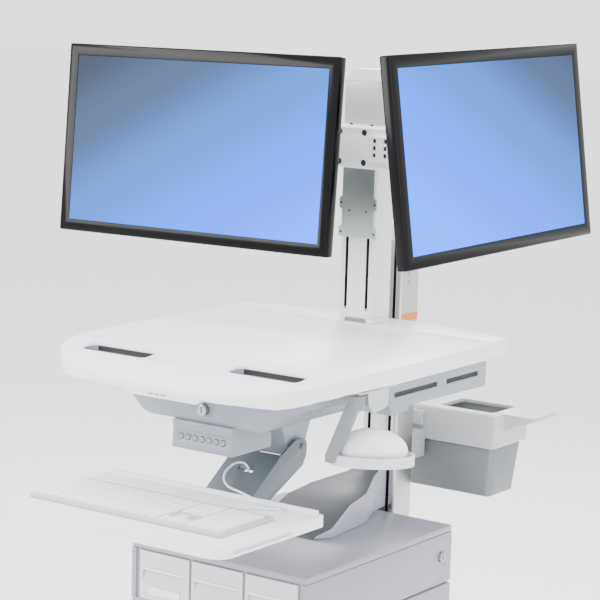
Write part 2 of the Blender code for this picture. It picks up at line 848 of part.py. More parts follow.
def make_bin(cart):
    """A lift-off bin: a tub with a rim and a grip lip, hooked over a bracket on the mast's back."""
    front = BIN_FRONT_Y
    back = front + BIN_DEPTH
    middle = (BIN_LEFT_X + BIN_RIGHT_X) / 2
    half = (BIN_RIGHT_X - BIN_LEFT_X) / 2
    tub_top = BIN_BOTTOM + TUB_HEIGHT
    rim_bottom = tub_top + GAP
    rim_top = rim_bottom + RIM_HEIGHT
    tub = tapered_box("bin_tub", (front, back), tub_top, 0.0, "bin_grey", 0.014)
    hollow = tapered_box("tub_hollow", (front, back), tub_top + 0.01, BIN_WALL, None, 0.011)
    cut(tub, hollow)
    over = RIM_OVERHANG
    rim = box(
        "bin_rim",
        span(middle, half + over),
        (front - over, back + over),
        (rim_bottom, rim_top),
        "pale_plastic",
        0.010,
        2,
    )
    lip = extrusion(
        "rim_lip",
        [
            (BIN_RIGHT_X, rim_top - 0.001),
            (BIN_RIGHT_X + BIN_LIP, rim_top - 0.001),
            (BIN_RIGHT_X + BIN_LIP, rim_top - 0.007),
            (BIN_RIGHT_X + BIN_LIP * 0.55, rim_top - 0.018),
            (BIN_RIGHT_X, rim_top - 0.036),
        ],
        "Y",
        front + 0.024,
        back - 0.004,
    )
    inside = box(
        "rim_inside",
        span(middle, half - BIN_WALL - 0.004),
        (front + BIN_WALL + 0.004, back - BIN_WALL - 0.004),
        (rim_bottom - 0.01, rim_top - RIM_TOP_PLATE),
    )
    mouth = box(
        "rim_mouth",
        (MOUTH_LEFT_X, BIN_RIGHT_X - 0.009),
        (front + 0.014, back - 0.014),
        (rim_bottom, rim_top + 0.02),
        bevel=0.006,
    )
    under = box(
        "lip_hollow",
        (BIN_RIGHT_X + over + BIN_WALL, BIN_RIGHT_X + BIN_LIP - 0.006),
        (front + 0.029, back - 0.009),
        (rim_bottom - 0.02, rim_top - 0.006),
    )
    hook_x = span(0.0, MAST_WIDTH / 2 - 0.006)
    hook_top = rim_top - 0.010
    tongue_front = front - over - HOOK_THICKNESS - RUN
    hook_front = tongue_front - RUN
    hook = extrusion(
        "rim_hook",
        [
            (hook_front - HOOK_THICKNESS, hook_top),
            (hook_front - HOOK_THICKNESS, hook_top - 0.026),
            (hook_front, hook_top - 0.026),
            (hook_front, hook_top - HOOK_THICKNESS),
            (front - over + 0.004, hook_top - HOOK_THICKNESS),
            (front - over + 0.004, hook_top),
        ],
        "X",
        hook_x[0] + RUN,
        hook_x[1] - RUN,
    )
    join(rim, lip)
    cut(rim, under)
    join(rim, hook)
    cut(rim, inside, mouth)
    bracket = box(
        "bin_bracket",
        (hook_x[0] - 0.002, hook_x[1] + 0.002),
        (tongue_front, tongue_front + HOOK_THICKNESS),
        (rim_bottom - 0.020, hook_top - HOOK_THICKNESS - GAP),
        "pale_plastic",
    )
    seat = box(
        "bin_bracket_seat",
        (hook_x[0] - 0.002, hook_x[1] + 0.002),
        (MAST_BACK_Y + GAP, tongue_front + HOOK_THICKNESS),
        (rim_bottom - 0.030, hook_top - 0.034),
    )
    join(bracket, seat)
    attach(cart, bracket)
    attach(pivot("bin_lift", (middle, front, rim_top), cart), tub, rim)


# ---------------------------------------------------------------- worktop and what is under it
def make_worktop(lift):
    top = WORKTOP_TOP
    nose = WORKTOP_NOSE_Y
    front_of_deck = DECK_FRONT_Y - RUN
    thick = WORKTOP_THICKNESS
    lip = top - WORKTOP_LIP
    profile = [
        (front_of_deck, top),
        (nose + 0.163, top),
        (nose + 0.105, top - 0.004),
        (nose + 0.065, top - 0.010),
        (nose + 0.034, top - 0.017),
        (nose + 0.012, top - 0.025),
        (nose, top - 0.035),
        (nose + 0.004, lip),
        (nose + 0.028, lip),
        (nose + 0.070, top - thick - 0.006),
        (HOUSING_FRONT_Y - 0.006, top - thick),
        (front_of_deck, top - thick),
    ]
    half = WORKTOP_HALF_WIDTH
    worktop = extrusion("worktop", profile, "X", -half - 0.01, half + 0.01, "white_plastic")
    corner = WORKTOP_CORNER
    plan = rounded(
        [
            (half - 0.003, front_of_deck + 0.01, 0.0),
            (-half + 0.003, front_of_deck + 0.01, 0.0),
            (-half, -0.300, 0.0),
            (-half + 0.012, nose + 0.036, corner),
            (-half * 0.36, nose + 0.001, 0.060),
            (half * 0.36, nose + 0.001, 0.060),
            (half - 0.012, nose + 0.036, corner),
            (half, -0.300, 0.0),
        ],
        6,
    )
    trim(worktop, extrusion("worktop_plan", plan, "Z", top - 0.1, top + 0.1))
    tab = rounded(
        [
            (-0.085, lip + 0.004, 0.0),
            (-0.070, lip - 0.009, 0.004),
            (0.070, lip - 0.009, 0.004),
            (0.085, lip + 0.004, 0.0),
        ],
        3,
    )
    join(worktop, extrusion("lock_tab", tab, "Y", nose + 0.010, nose + 0.024))
    slide = pivot("worktop_slide", (0.0, front_of_deck, top), lift)
    for side in (-1, 1):
        x = side * HANDLE_X
        slot = rounded(
            [
                (x - HANDLE_HALF_LENGTH, HANDLE_Y - HANDLE_DEPTH / 2, 0.010),
                (x + HANDLE_HALF_LENGTH, HANDLE_Y - HANDLE_DEPTH / 2, 0.010),
                (x + HANDLE_HALF_LENGTH, HANDLE_Y + HANDLE_DEPTH / 2, 0.010),
                (x - HANDLE_HALF_LENGTH, HANDLE_Y + HANDLE_DEPTH / 2, 0.010),
            ],
            3,
        )
        cut(worktop, extrusion(f"handle_slot_{side}", slot, "Z", top - 0.1, top + 0.1))
    attach(slide, worktop)


def make_rear_deck(lift):
    """The fixed strip behind the worktop, bowed at the back, with the column's foot on it."""
    top = WORKTOP_TOP + DECK_RISE
    half = WORKTOP_HALF_WIDTH - 0.006
    bowed = []
    steps = 12
    for step in range(steps + 1):
        x = half - 2 * half * step / steps
        rise = 1.0 - (x / half) ** 2
        bowed.append((x, min(DECK_SIDE_Y + (DECK_BACK_Y - DECK_SIDE_Y) * rise, DECK_BACK_Y)))
    outline = [(-half - 0.002, DECK_FRONT_Y), (half + 0.002, DECK_FRONT_Y), *bowed]
    low = WORKTOP_TOP - WORKTOP_THICKNESS
    deck = extrusion("rear_deck", outline, "Z", low, top, "white_plastic")
    add_bevel(deck, 0.0015, 1, 50)
    attach(lift, deck)


def make_housing(lift):
    """The computer compartment under the worktop, open at the top, with the arm's pod below."""
    top = WORKTOP_TOP - WORKTOP_THICKNESS - RUN
    bottom = WORKTOP_TOP - HOUSING_BOTTOM
    front = HOUSING_FRONT_Y
    wall = HOUSING_WALL
    side_bottom = WORKTOP_TOP - SIDE_DROP
    contour = [
        (HOUSING_HALF_BOTTOM, bottom),
        (0.130, bottom + 0.006),
        (0.142, WORKTOP_TOP - 0.094),
        (0.157, WORKTOP_TOP - 0.081),
        (0.186, WORKTOP_TOP - 0.072),
        (HOUSING_HALF_TOP, WORKTOP_TOP - 0.060),
    ]
    shape = mirrored([*contour, (HOUSING_HALF_TOP, top)])
    housing = extrusion("computer_housing", shape, "Y", front, -0.170, "blue_grey_plastic")
    side_tool = rounded(
        [
            (-0.290, side_bottom + 0.004, 0.006),
            (HOUSING_BACK_Y, side_bottom, 0.006),
            (HOUSING_BACK_Y, top, 0.0),
            (-0.290, top, 0.0),
        ],
        2,
    )
    rear_tray = extrusion("housing_rear", side_tool, "X", -SIDE_HALF_WIDTH, SIDE_HALF_WIDTH)
    pod = extrusion(
        "housing_pod",
        [
            (-0.286, bottom + 0.01),
            (-0.286, bottom - 0.030),
            (ARM_PIVOT_Y - 0.020, WORKTOP_TOP - ARM_PIVOT_DROP - 0.016),
            (ARM_PIVOT_Y + 0.014, WORKTOP_TOP - ARM_PIVOT_DROP - 0.016),
            (ARM_PIVOT_Y + 0.040, bottom - 0.020),
            (ARM_PIVOT_Y + 0.060, side_bottom + 0.002),
            (-0.286, side_bottom + 0.002),
        ],
        "X",
        -POD_HALF_WIDTH,
        POD_HALF_WIDTH,
    )
    join(housing, rear_tray, pod)
    thin = wall * 1.6
    inset = [(u - thin, v + (wall if index == 0 else 0.0)) for index, (u, v) in enumerate(contour)]
    inside = mirrored([*inset, (HOUSING_HALF_TOP - thin, top + 0.01)])
    front_hollow = extrusion("compartment_front", inside, "Y", front + 0.018, -0.176)
    rear_hollow = box(
        "compartment_rear",
        span(0.0, SIDE_HALF_WIDTH - SIDE_SLOT_DEPTH - wall),
        (-0.290 + wall, HOUSING_BACK_Y - wall),
        (side_bottom + wall + 0.003, top + 0.01),
    )
    pin_hole = rod(
        "arm_pin_hole",
        (-0.1, ARM_PIVOT_Y, WORKTOP_TOP - ARM_PIVOT_DROP),
        (0.1, ARM_PIVOT_Y, WORKTOP_TOP - ARM_PIVOT_DROP),
        ARM_PIN_RADIUS + RUN,
        sides=16,
    )
    lock_z = WORKTOP_TOP - 0.090
    lock_hole = rod(
        "front_lock_hole",
        (0.0, front + 0.010 + GAP, lock_z),
        (0.0, front - 0.02, lock_z),
        LOCK_RADIUS + RUN,
        sides=24,
    )
    cut(housing, front_hollow, rear_hollow, pin_hole, lock_hole)
    for side in (-1, 1):
        outer = side * SIDE_HALF_WIDTH
        for index, (start, end) in enumerate(((-0.274, -0.140), (-0.112, -0.006))):
            slot = box(
                f"side_slot_{side}_{index}",
                tuple(sorted((outer - side * SIDE_SLOT_DEPTH, outer + side * 0.01))),
                (start, end),
                (top - 0.034, top - 0.025),
            )
            cut(housing, slot)
    attach(lift, housing)
    plug = rod(
        "front_lock",
        (0.0, front + 0.010, lock_z),
        (0.0, front - 0.009, lock_z),
        LOCK_RADIUS,
        "lock_steel",
        24,
    )
    key_slot = box(
        "front_key_slot", span(0.0, 0.0012), (front - 0.02, front - 0.006), span(lock_z, 0.005)
    )
    cut(plug, key_slot)
    attach(pivot("front_lock_turn", (0.0, front, lock_z), lift), plug)


def make_keypad(lift):
    half = KEYPAD_HALF_WIDTH
    top = WORKTOP_TOP - HOUSING_BOTTOM - GAP
    bottom = WORKTOP_TOP - KEYPAD_BOTTOM
    front = KEYPAD_FRONT_Y
    section = rounded(
        [
            (front, top, 0.002),
            (front + 0.004, (top + bottom) / 2 + 0.008, 0.0),
            (front + 0.001, bottom, 0.003),
            (KEYPAD_BACK_Y, bottom + 0.001, 0.003),
            (KEYPAD_BACK_Y, top - 0.024, 0.0),
            (KEYPAD_BACK_Y - 0.045, top, 0.0),
        ],
        2,
    )
    keypad = extrusion("keypad_box", section, "X", -half, half, "blue_grey_plastic")
    add_bevel(keypad, 0.002, 1, 60)
    z = WORKTOP_TOP - BUTTON_Z
    face = front + 0.0035
    seat = face + 0.0045
    for index in range(BUTTON_COUNT):
        x = (index - (BUTTON_COUNT - 1) / 2) * BUTTON_PITCH
        well = rod(
            f"button_well_{index}",
            (x, seat + BUTTON_TRAVEL, z),
            (x, face - 0.01, z),
            BUTTON_RADIUS + RUN,
            sides=16,
        )
        cut(keypad, well)
        button = rod(
            f"keypad_button_{index + 1}",
            (x, seat - GAP, z),
            (x, face - 0.0022, z),
            BUTTON_RADIUS,
            "blue_grey_plastic",
            16,
            BUTTON_RADIUS - 0.0008,
        )
        attach(pivot(f"button_press_{index + 1}", (x, face, z), lift), button)
    attach(lift, keypad)


def make_carriage(lift):
    """The plate that carries the worktop, with two tongues that run in the mast's grooves."""
    plate_back = MAST_FRONT_Y - RUN
    top = WORKTOP_TOP - WORKTOP_THICKNESS - GAP
    bottom = WORKTOP_TOP - 0.165
    carriage = box(
        "lift_carriage",
        span(0.0, 0.062),
        (HOUSING_BACK_Y + GAP, plate_back),
        (bottom, top),
        "base_metal",
        0.003,
    )
    tongues = [
        box(
            f"carriage_tongue_{index}",
            span(side * GROOVE_SPACING / 2, GROOVE_WIDTH / 2 - RUN),
            (plate_back - 0.004, MAST_FRONT_Y + GROOVE_DEPTH - RUN),
            (bottom + 0.010, top - 0.010),
        )
        for index, side in enumerate((-1, 1))
    ]
    join(carriage, *tongues)
    attach(lift, carriage)


# ---------------------------------------------------------------- head column and crossbar
def make_column(lift):
    foot_bottom = WORKTOP_TOP + DECK_RISE + GAP
    foot_top = WORKTOP_TOP + COLUMN_FOOT
    half = COLUMN_WIDTH / 2
    back = COLUMN_FRONT_Y + COLUMN_DEPTH
    round_corner = 0.005
    foot_outline = rounded(
        [
            (half, COLUMN_FRONT_Y, round_corner),
            (half, back, round_corner),
            (-half, back, round_corner),
            (-half, COLUMN_FRONT_Y, round_corner),
        ],
        3,
    )
    foot = extrusion("column_foot", foot_outline, "Z", foot_bottom, foot_top - 0.001)
    outlet = extrusion(
        "cable_outlet",
        [
            (-0.029, foot_bottom - 0.01),
            (0.029, foot_bottom - 0.01),
            (0.021, foot_top - 0.002),
            (-0.021, foot_top - 0.002),
        ],
        "Y",
        COLUMN_FRONT_Y - 0.01,
        COLUMN_FRONT_Y + 0.0035,
    )
    neck = box(
        "column_neck",
        span(0.0, half - 0.0025),
        (COLUMN_FRONT_Y + 0.0025, back - 0.0025),
        (foot_bottom + 0.004, foot_top + 0.004),
    )
    column_top = WORKTOP_TOP + COLUMN_TOP
    column = extrusion("head_column", foot_outline, "Z", foot_top, column_top, "white_plastic")
    join(column, neck, foot)
    grooves = [
        box(
            f"column_groove_{index}",
            span(direction * GROOVE_SPACING / 2, GROOVE_WIDTH / 2),
            (COLUMN_FRONT_Y - 0.01, COLUMN_FRONT_Y + GROOVE_DEPTH),
            (foot_top + 0.012, column_top + 0.01),
        )
        for index, direction in enumerate((-1, 1))
    ]
    core = box(
        "column_core",
        span(0.0, half - 0.004),
        (COLUMN_FRONT_Y + GROOVE_DEPTH + 0.003, back - 0.004),
        (foot_bottom - 0.01, column_top + 0.01),
    )
    cut(column, outlet, core, *grooves)
    cap_half = half + 0.0015
    inset = 0.010
    cap = box(
        "head_cap",
        span(0.0, cap_half),
        (COLUMN_FRONT_Y - 0.0015, back + 0.0015),
        (column_top + GAP, column_top + GAP + COLUMN_CAP),
        "pale_plastic",
        inset,
        2,
    )
    attach(lift, column, cap)


def make_crossbar(bar_empty):
    half = BAR_HALF_LENGTH
    bar = box(
        "crossbar",
        span(0.0, half),
        (BAR_FRONT_Y, BAR_BACK_Y),
        (BAR_BOTTOM, BAR_TOP),
        "white_plastic",
        0.004,
        2,
    )
    for monitor in (LEFT_MONITOR, RIGHT_MONITOR):
        x = monitor["x"]
        tag = f"{x:.3f}"
        lobe = rounded(
            [
                (x - 0.017, BAR_FRONT_Y + 0.004, 0.0),
                (x - 0.017, PAN_Y - 0.014, 0.012),
                (x + 0.017, PAN_Y - 0.014, 0.012),
                (x + 0.017, BAR_FRONT_Y + 0.004, 0.0),
            ],
            4,
        )
        ears = extrusion(f"ears_{tag}", lobe, "Z", BAR_BOTTOM + 0.003, BAR_TOP - 0.003)
        join(bar, ears)
        between = box(
            f"between_ears_{tag}",
            span(x, KNUCKLE_RADIUS + 0.008),
            (PAN_Y - 0.03, PAN_Y + KNUCKLE_RADIUS + 0.0025),
            (BAR_BOTTOM + 0.011, BAR_TOP - 0.011),
        )
        cut(bar, between)
        pin = rod(
            f"pan_pin_{tag}",
            (x, PAN_Y, BAR_BOTTOM + 0.006),
            (x, PAN_Y, BAR_TOP - 0.006),
            PAN_PIN_RADIUS,
            sides=16,
        )
        join(bar, pin)
    for index, (x, z) in enumerate(
        ((-0.0255, 0.0105), (0.0255, 0.0105), (-0.0255, 0.0630), (0.0255, 0.0630))
    ):
        recess = rod(
            f"bolt_recess_{index}",
            (x, BAR_FRONT_Y - 0.01, BAR_BOTTOM + z),
            (x, BAR_FRONT_Y + 0.003, BAR_BOTTOM + z),
            0.0058,
            sides=16,
        )
        cut(bar, recess)
    plate_back = COLUMN_FRONT_Y - RUN
    plate_low = BAR_BOTTOM - PLATE_DROP
    tab = 0.006
    plate_half = COLUMN_WIDTH / 2 - 0.003
    side = [
        (plate_half, BAR_BOTTOM - GAP),
        (plate_half, plate_low + 0.072),
        (plate_half + tab, plate_low + 0.068),
        (plate_half + tab, plate_low + 0.052),
        (plate_half, plate_low + 0.048),
        (plate_half, plate_low + 0.020),
        (plate_half + tab, plate_low + 0.016),
        (plate_half + tab, plate_low),
    ]
    outline = [*side, *[(-u, v) for u, v in reversed(side)]]
    plate = extrusion(
        "slider_plate", outline, "Y", plate_back - PLATE_THICKNESS, plate_back, "bracket_steel"
    )
    for index, direction in enumerate((-1, 1)):
        tongue = box(
            f"slider_tongue_{index}",
            span(direction * GROOVE_SPACING / 2, GROOVE_WIDTH / 2 - RUN),
            (plate_back - 0.001, COLUMN_FRONT_Y + GROOVE_DEPTH - RUN),
            (plate_low + 0.004, BAR_BOTTOM - 0.012),
        )
        join(plate, tongue)
    for index, (x, z) in enumerate(
        ((-0.018, 0.047), (0.018, 0.047), (0.035, 0.008), (0.035, 0.060), (-0.035, 0.008), (-0.035, 0.060))
    ):
        hole = rod(
            f"plate_hole_{index}",
            (x, plate_back - 0.01, plate_low + z),
            (x, plate_back - 0.001, plate_low + z),
            0.0022,
            sides=10,
        )
        cut(plate, hole)
    clip = box(
        "cable_clip",
        (0.044, 0.086),
        (BAR_FRONT_Y - 0.010, BAR_FRONT_Y + 0.002),
        (BAR_BOTTOM + 0.017, BAR_BOTTOM + 0.060),
        bevel=0.0015,
    )
    join(bar, clip)
    for row in range(3):
        for column, x in enumerate((0.050, 0.072)):
            z = BAR_BOTTOM + 0.026 + 0.0125 * row
            slot = box(
                f"clip_slot_{row}_{column}",
                (x, x + 0.007),
                (BAR_FRONT_Y - 0.03, BAR_FRONT_Y - 0.0065),
                span(z, 0.0038),
            )
            cut(bar, slot)
    attach(bar_empty, bar, plate)


def make_monitor(bar_empty, side, monitor):
    """A pan knuckle on the crossbar and a monitor that tilts on it, modelled facing -Y."""
    x = monitor["x"]
    pan_turn = Matrix.Rotation(math.radians(monitor["pan"]), 4, "Z")
    roll_turn = Matrix.Rotation(math.radians(monitor["roll"]), 4, "Y")
    middle = BAR_MIDDLE
    pan = pivot(f"pan_{side}", (x, PAN_Y, middle), bar_empty, pan_turn)
    high = BAR_HEIGHT / 2 - 0.011 - RUN
    knuckle = rod(
        f"monitor_knuckle_{side}", (0, 0, -high), (0, 0, high), KNUCKLE_RADIUS, "pale_plastic", 24
    )
    lift = monitor["lift"]
    arm = box(
        f"knuckle_arm_{side}",
        span(0.0, 0.012),
        (-KNUCKLE_REACH + 0.003, -0.0075),
        (min(-0.012, lift - 0.010), max(0.012, lift + 0.010)),
        bevel=0.003,
    )
    axis_middle = Vector((0.0, -KNUCKLE_REACH, lift))
    along = roll_turn @ Vector((0.020, 0.0, 0.0))
    barrel = rod(
        f"tilt_barrel_{side}", axis_middle - along, axis_middle + along, TILT_RADIUS, sides=20
    )
    join(knuckle, arm, barrel)
    pan_bore = rod(f"pan_bore_{side}", (0, 0, -0.05), (0, 0, 0.05), PAN_PIN_RADIUS + RUN, sides=16)
    tilt_bore = rod(
        f"tilt_bore_{side}",
        axis_middle - along * 2.5,
        axis_middle + along * 2.5,
        TILT_PIN_RADIUS + RUN,
        sides=16,
    )
    cut(knuckle, pan_bore, tilt_bore)
    place_on(pan, knuckle)
    tilt_place = PLACES[pan.name] @ axis_middle
    tilt_turn = pan_turn @ roll_turn @ Matrix.Rotation(math.radians(-monitor["tilt"]), 4, "X")
    tilt = pivot(f"tilt_{side}", tilt_place, pan, tilt_turn)
    place_on(tilt, *monitor_pieces(side))


def monitor_pieces(side):
    """The monitor's case and its screen panel, about the tilt axis, with the screen to -Y."""
    face = -MONITOR_SCREEN_REACH
    half_w = SCREEN_WIDTH / 2 + BEZEL
    half_h = SCREEN_HEIGHT / 2 + BEZEL
    case = box(
        f"monitor_case_{side}",
        span(0.0, half_w),
        (face, face + MONITOR_SLAB),
        span(0.0, half_h),
        "black_gloss",
        0.003,
        2,
    )
    bulge_back = -TILT_RADIUS - 0.004
    bulge = box(
        f"case_bulge_{side}",
        span(0.0, half_w * 0.62),
        (face + MONITOR_SLAB - 0.008, bulge_back),
        span(0.0, half_h * 0.66),
        bevel=0.004,
    )
    recess = box(
        f"screen_recess_{side}",
        span(0.0, SCREEN_WIDTH / 2),
        (face - 0.01, face + SCREEN_INSET),
        span(0.0, SCREEN_HEIGHT / 2),
    )
    join(case, bulge)
    cut(case, recess)
    ears = [
        box(
            f"tilt_ear_{side}_{index}",
            (low, low + 0.006),
            (bulge_back - 0.007, 0.010),
            span(0.0, 0.012),
            bevel=0.003,
        )
        for index, low in enumerate((-0.0268, 0.0208))
    ]
    pin = rod(f"tilt_pin_{side}", (-0.024, 0, 0), (0.024, 0, 0), TILT_PIN_RADIUS, sides=16)
    join(case, *ears, pin)
    edge = GAP
    screen = box(
        f"screen_{side}",
        span(0.0, SCREEN_WIDTH / 2 - edge),
        (face + SCREEN_INSET - edge - SCREEN_THICKNESS + 0.0004, face + SCREEN_INSET - edge),
        span(0.0, SCREEN_HEIGHT / 2 - edge),
        "screen",
    )
    return case, screen


# ---------------------------------------------------------------- keyboard arm, tray and keyboard
def make_keyboard_arm(lift):
    pivot_y = ARM_PIVOT_Y
    pivot_z = WORKTOP_TOP - ARM_PIVOT_DROP
    hinge_y = TRAY_HINGE_Y
    hinge_z = WORKTOP_TOP - TRAY_HINGE_DROP
    arm_empty = pivot("keyboard_arm_fold", (0.0, pivot_y, pivot_z), lift)
    high = Vector((-0.300, pivot_z - 0.008))
    low = Vector((hinge_y - 0.013, hinge_z + 0.009))
    slope = (low - high).normalized()
    inward = Vector((-slope.y, slope.x)) * ARM_WALL
    outer = rounded(
        [
            (pivot_y + 0.016, pivot_z + 0.012, 0.012),
            (pivot_y - 0.016, pivot_z + 0.014, 0.010),
            (high.x, high.y, 0.010),
            (low.x, low.y, 0.0),
            (low.x, hinge_z - 0.012, 0.006),
            (hinge_y + 0.020, hinge_z - 0.012, 0.012),
            (pivot_y + 0.006, pivot_z - 0.034, 0.014),
            (pivot_y + 0.016, pivot_z - 0.016, 0.010),
        ],
        3,
    )
    arm = extrusion("keyboard_arm", outer, "X", -ARM_HALF_WIDTH, ARM_HALF_WIDTH, "blue_grey_plastic")
    inner_high = high + inward
    inner_low = low + inward + slope * 0.03
    hollow = extrusion(
        "arm_hollow",
        [
            (pivot_y + 0.05, pivot_z + 0.05),
            (high.x + 0.0035, pivot_z + 0.05),
            (high.x + 0.0035, inner_high.y),
            (inner_low.x, inner_low.y),
            (inner_low.x, hinge_z - 0.05),
            (pivot_y + 0.05, hinge_z - 0.05),
        ],
        "X",
        -ARM_HALF_WIDTH + ARM_WALL,
        ARM_HALF_WIDTH - ARM_WALL,
    )
    cut(arm, hollow)
    cable_slot = box(
        "arm_cable_slot",
        (-0.016, 0.016),
        (-0.336, -0.328),
        (pivot_z - 0.07, pivot_z + 0.02),
    )
    cut(arm, cable_slot)
    pivot_pin = rod(
        "arm_pivot_pin",
        (-ARM_HALF_WIDTH - 0.004, pivot_y, pivot_z),
        (ARM_HALF_WIDTH + 0.004, pivot_y, pivot_z),
        ARM_PIN_RADIUS,
        sides=16,
    )
    hinge_pin = rod(
        "tray_hinge_pin",
        (-ARM_HALF_WIDTH + 0.001, hinge_y, hinge_z),
        (ARM_HALF_WIDTH - 0.001, hinge_y, hinge_z),
        0.0035,
        sides=16,
    )
    join(arm, pivot_pin, hinge_pin)
    attach(arm_empty, arm)
    tray_empty = pivot("keyboard_tray_tilt", (0.0, hinge_y, hinge_z), arm_empty)
    make_tray(tray_empty, hinge_y, hinge_z)


def make_tray(tray_empty, hinge_y, hinge_z):
    top = WORKTOP_TOP - TRAY_DROP
    bottom = top - TRAY_THICKNESS
    half = TRAY_HALF_WIDTH
    plan = rounded(
        [
            (half, TRAY_BACK_Y, 0.008),
            (-half, TRAY_BACK_Y, 0.008),
            (-half, TRAY_FRONT_Y, TRAY_CORNER),
            (half, TRAY_FRONT_Y, TRAY_CORNER),
        ],
        4,
    )
    tray = extrusion("keyboard_tray", plan, "Z", bottom, top, "white_plastic")
    add_bevel(tray, 0.002, 1, 60)
    rail = box(
        "tray_rail",
        span(0.0, half - 0.010),
        (TRAY_BACK_Y - 0.009, TRAY_BACK_Y - 0.003),
        (top - 0.005, top + TRAY_LIP),
        bevel=0.001,
    )
    knuckle = rod(
        "tray_knuckle", (-0.040, hinge_y, hinge_z), (0.040, hinge_y, hinge_z), 0.0075, sides=20
    )
    strap = extrusion(
        "tray_strap",
        [
            (TRAY_BACK_Y - 0.080, bottom + 0.001),
            (TRAY_BACK_Y - 0.080, bottom - 0.004),
            (TRAY_BACK_Y - 0.072, hinge_z - 0.006),
            (hinge_y, hinge_z - 0.006),
            (hinge_y, hinge_z),
            (hinge_y - 0.021, hinge_z),
            (hinge_y - 0.030, bottom + 0.001),
        ],
        "X",
        -0.038,
        0.038,
    )
    join(tray, rail, strap, knuckle)
    bore = rod(
        "tray_bore", (-0.1, hinge_y, hinge_z), (0.1, hinge_y, hinge_z), 0.0035 + RUN, sides=16
    )
    pocket_bottom = bottom + 0.0045
    pocket_top = pocket_bottom + MOUSE_TRAY_THICKNESS + 2 * RUN
    pocket_back = TRAY_BACK_Y - 0.090
    pocket = box(
        "mouse_tray_pocket",
        (half - MOUSE_TRAY_LENGTH - 0.004, half + 0.02),
        (pocket_back - MOUSE_TRAY_DEPTH - 2 * RUN, pocket_back),
        (pocket_bottom, pocket_top),
    )
    cut(tray, bore, pocket)
    mouse_tray = box(
        "mouse_tray",
        (half - MOUSE_TRAY_LENGTH, half - 0.001),
        (pocket_back - MOUSE_TRAY_DEPTH - RUN, pocket_back - RUN),
        (pocket_bottom + RUN, pocket_bottom + RUN + MOUSE_TRAY_THICKNESS),
        "pale_plastic",
        0.001,
    )
    slide_place = (half, pocket_back - MOUSE_TRAY_DEPTH / 2, pocket_bottom)
    attach(pivot("mouse_tray_slide", slide_place, tray_empty), mouse_tray)
    keyboard_x = span(KEYBOARD_X, KEYBOARD_WIDTH / 2)
    keyboard = box(
        "keyboard",
        keyboard_x,
        (KEYBOARD_BACK_Y - KEYBOARD_DEPTH, KEYBOARD_BACK_Y),
        (top + GAP, top + GAP + KEYBOARD_HEIGHT),
        "white_plastic",
        0.002,
        2,
    )
    keys = box(
        "key_field",
        (keyboard_x[0] + 0.008, keyboard_x[1] - 0.008),
        (KEYBOARD_BACK_Y - KEYBOARD_DEPTH + 0.008, KEYBOARD_BACK_Y - 0.016),
        (top + KEYBOARD_HEIGHT - 0.002, top + GAP + KEYBOARD_HEIGHT + KEY_FIELD_HEIGHT),
        bevel=0.001,
    )
    join(keyboard, keys)
    attach(tray_empty, tray, keyboard)
    make_keyboard_cable(tray_empty, top)


def make_keyboard_cable(tray_empty, top):
    """The keyboard's lead: gathered behind the keyboard, over the rail and into the arm's slot."""
    route = [
        (0.100, -0.5025, top + 0.0040),
        (0.101, -0.492, top + 0.0035),
        (0.108, -0.478, top + 0.0030),
        (0.128, -0.466, top + 0.0030),
        (0.148, -0.458, top + 0.0032),
        (0.156, -0.447, top + 0.0036),
        (0.146, -0.440, top + 0.0042),
        (0.126, -0.442, top + 0.0048),
        (0.104, -0.440, top + 0.0062),
        (0.082, -0.434, top + 0.0090),
        (0.058, -0.424, top + 0.0100),
        (0.034, -0.408, top + 0.0070),
        (0.010, -0.393, top + 0.0060),
        (-0.010, -0.378, top + 0.0110),
        (-0.018, -0.362, top + 0.0220),
        (-0.012, -0.346, top + 0.0330),
        (0.000, -0.337, top + 0.0340),
        (0.006, -0.3335, top + 0.0260),
        (0.006, -0.3325, top + 0.0170),
    ]
    points = smooth_route(route, 0.006)
    curve = bpy.data.curves.new("keyboard_cable", "CURVE")
    curve.dimensions = "3D"
    curve.bevel_depth = CABLE_RADIUS
    curve.bevel_resolution = 2
    curve.use_fill_caps = True
    spline = curve.splines.new("POLY")
    spline.points.add(len(points) - 1)
    for point, place in zip(spline.points, points):
        point.co = (*place, 1.0)
    cable = bpy.data.objects.new("keyboard_cable", curve)
    curve.materials.append(finish("white_plastic"))
    PARTS.objects.link(cable)
    attach(tray_empty, cable)


def smooth_route(route, step):
    """Points about a step apart along one smooth curve through the route's own points."""
    knots = [Vector(place) for place in route]
    knots = [2 * knots[0] - knots[1], *knots, 2 * knots[-1] - knots[-2]]
    fine = []
    for before, start, end, after in zip(knots, knots[1:], knots[2:], knots[3:]):
        pieces = max(1, round((end - start).length / step))
        for index in range(pieces):
            t = index / pieces
            fine.append(
                0.5
                * (
                    2 * start
                    + (end - before) * t
                    + (2 * before - 5 * start + 4 * end - after) * t * t
                    + (3 * start - before - 3 * end + after) * t * t * t
                )
            )
    fine.append(knots[-2])
    return fine


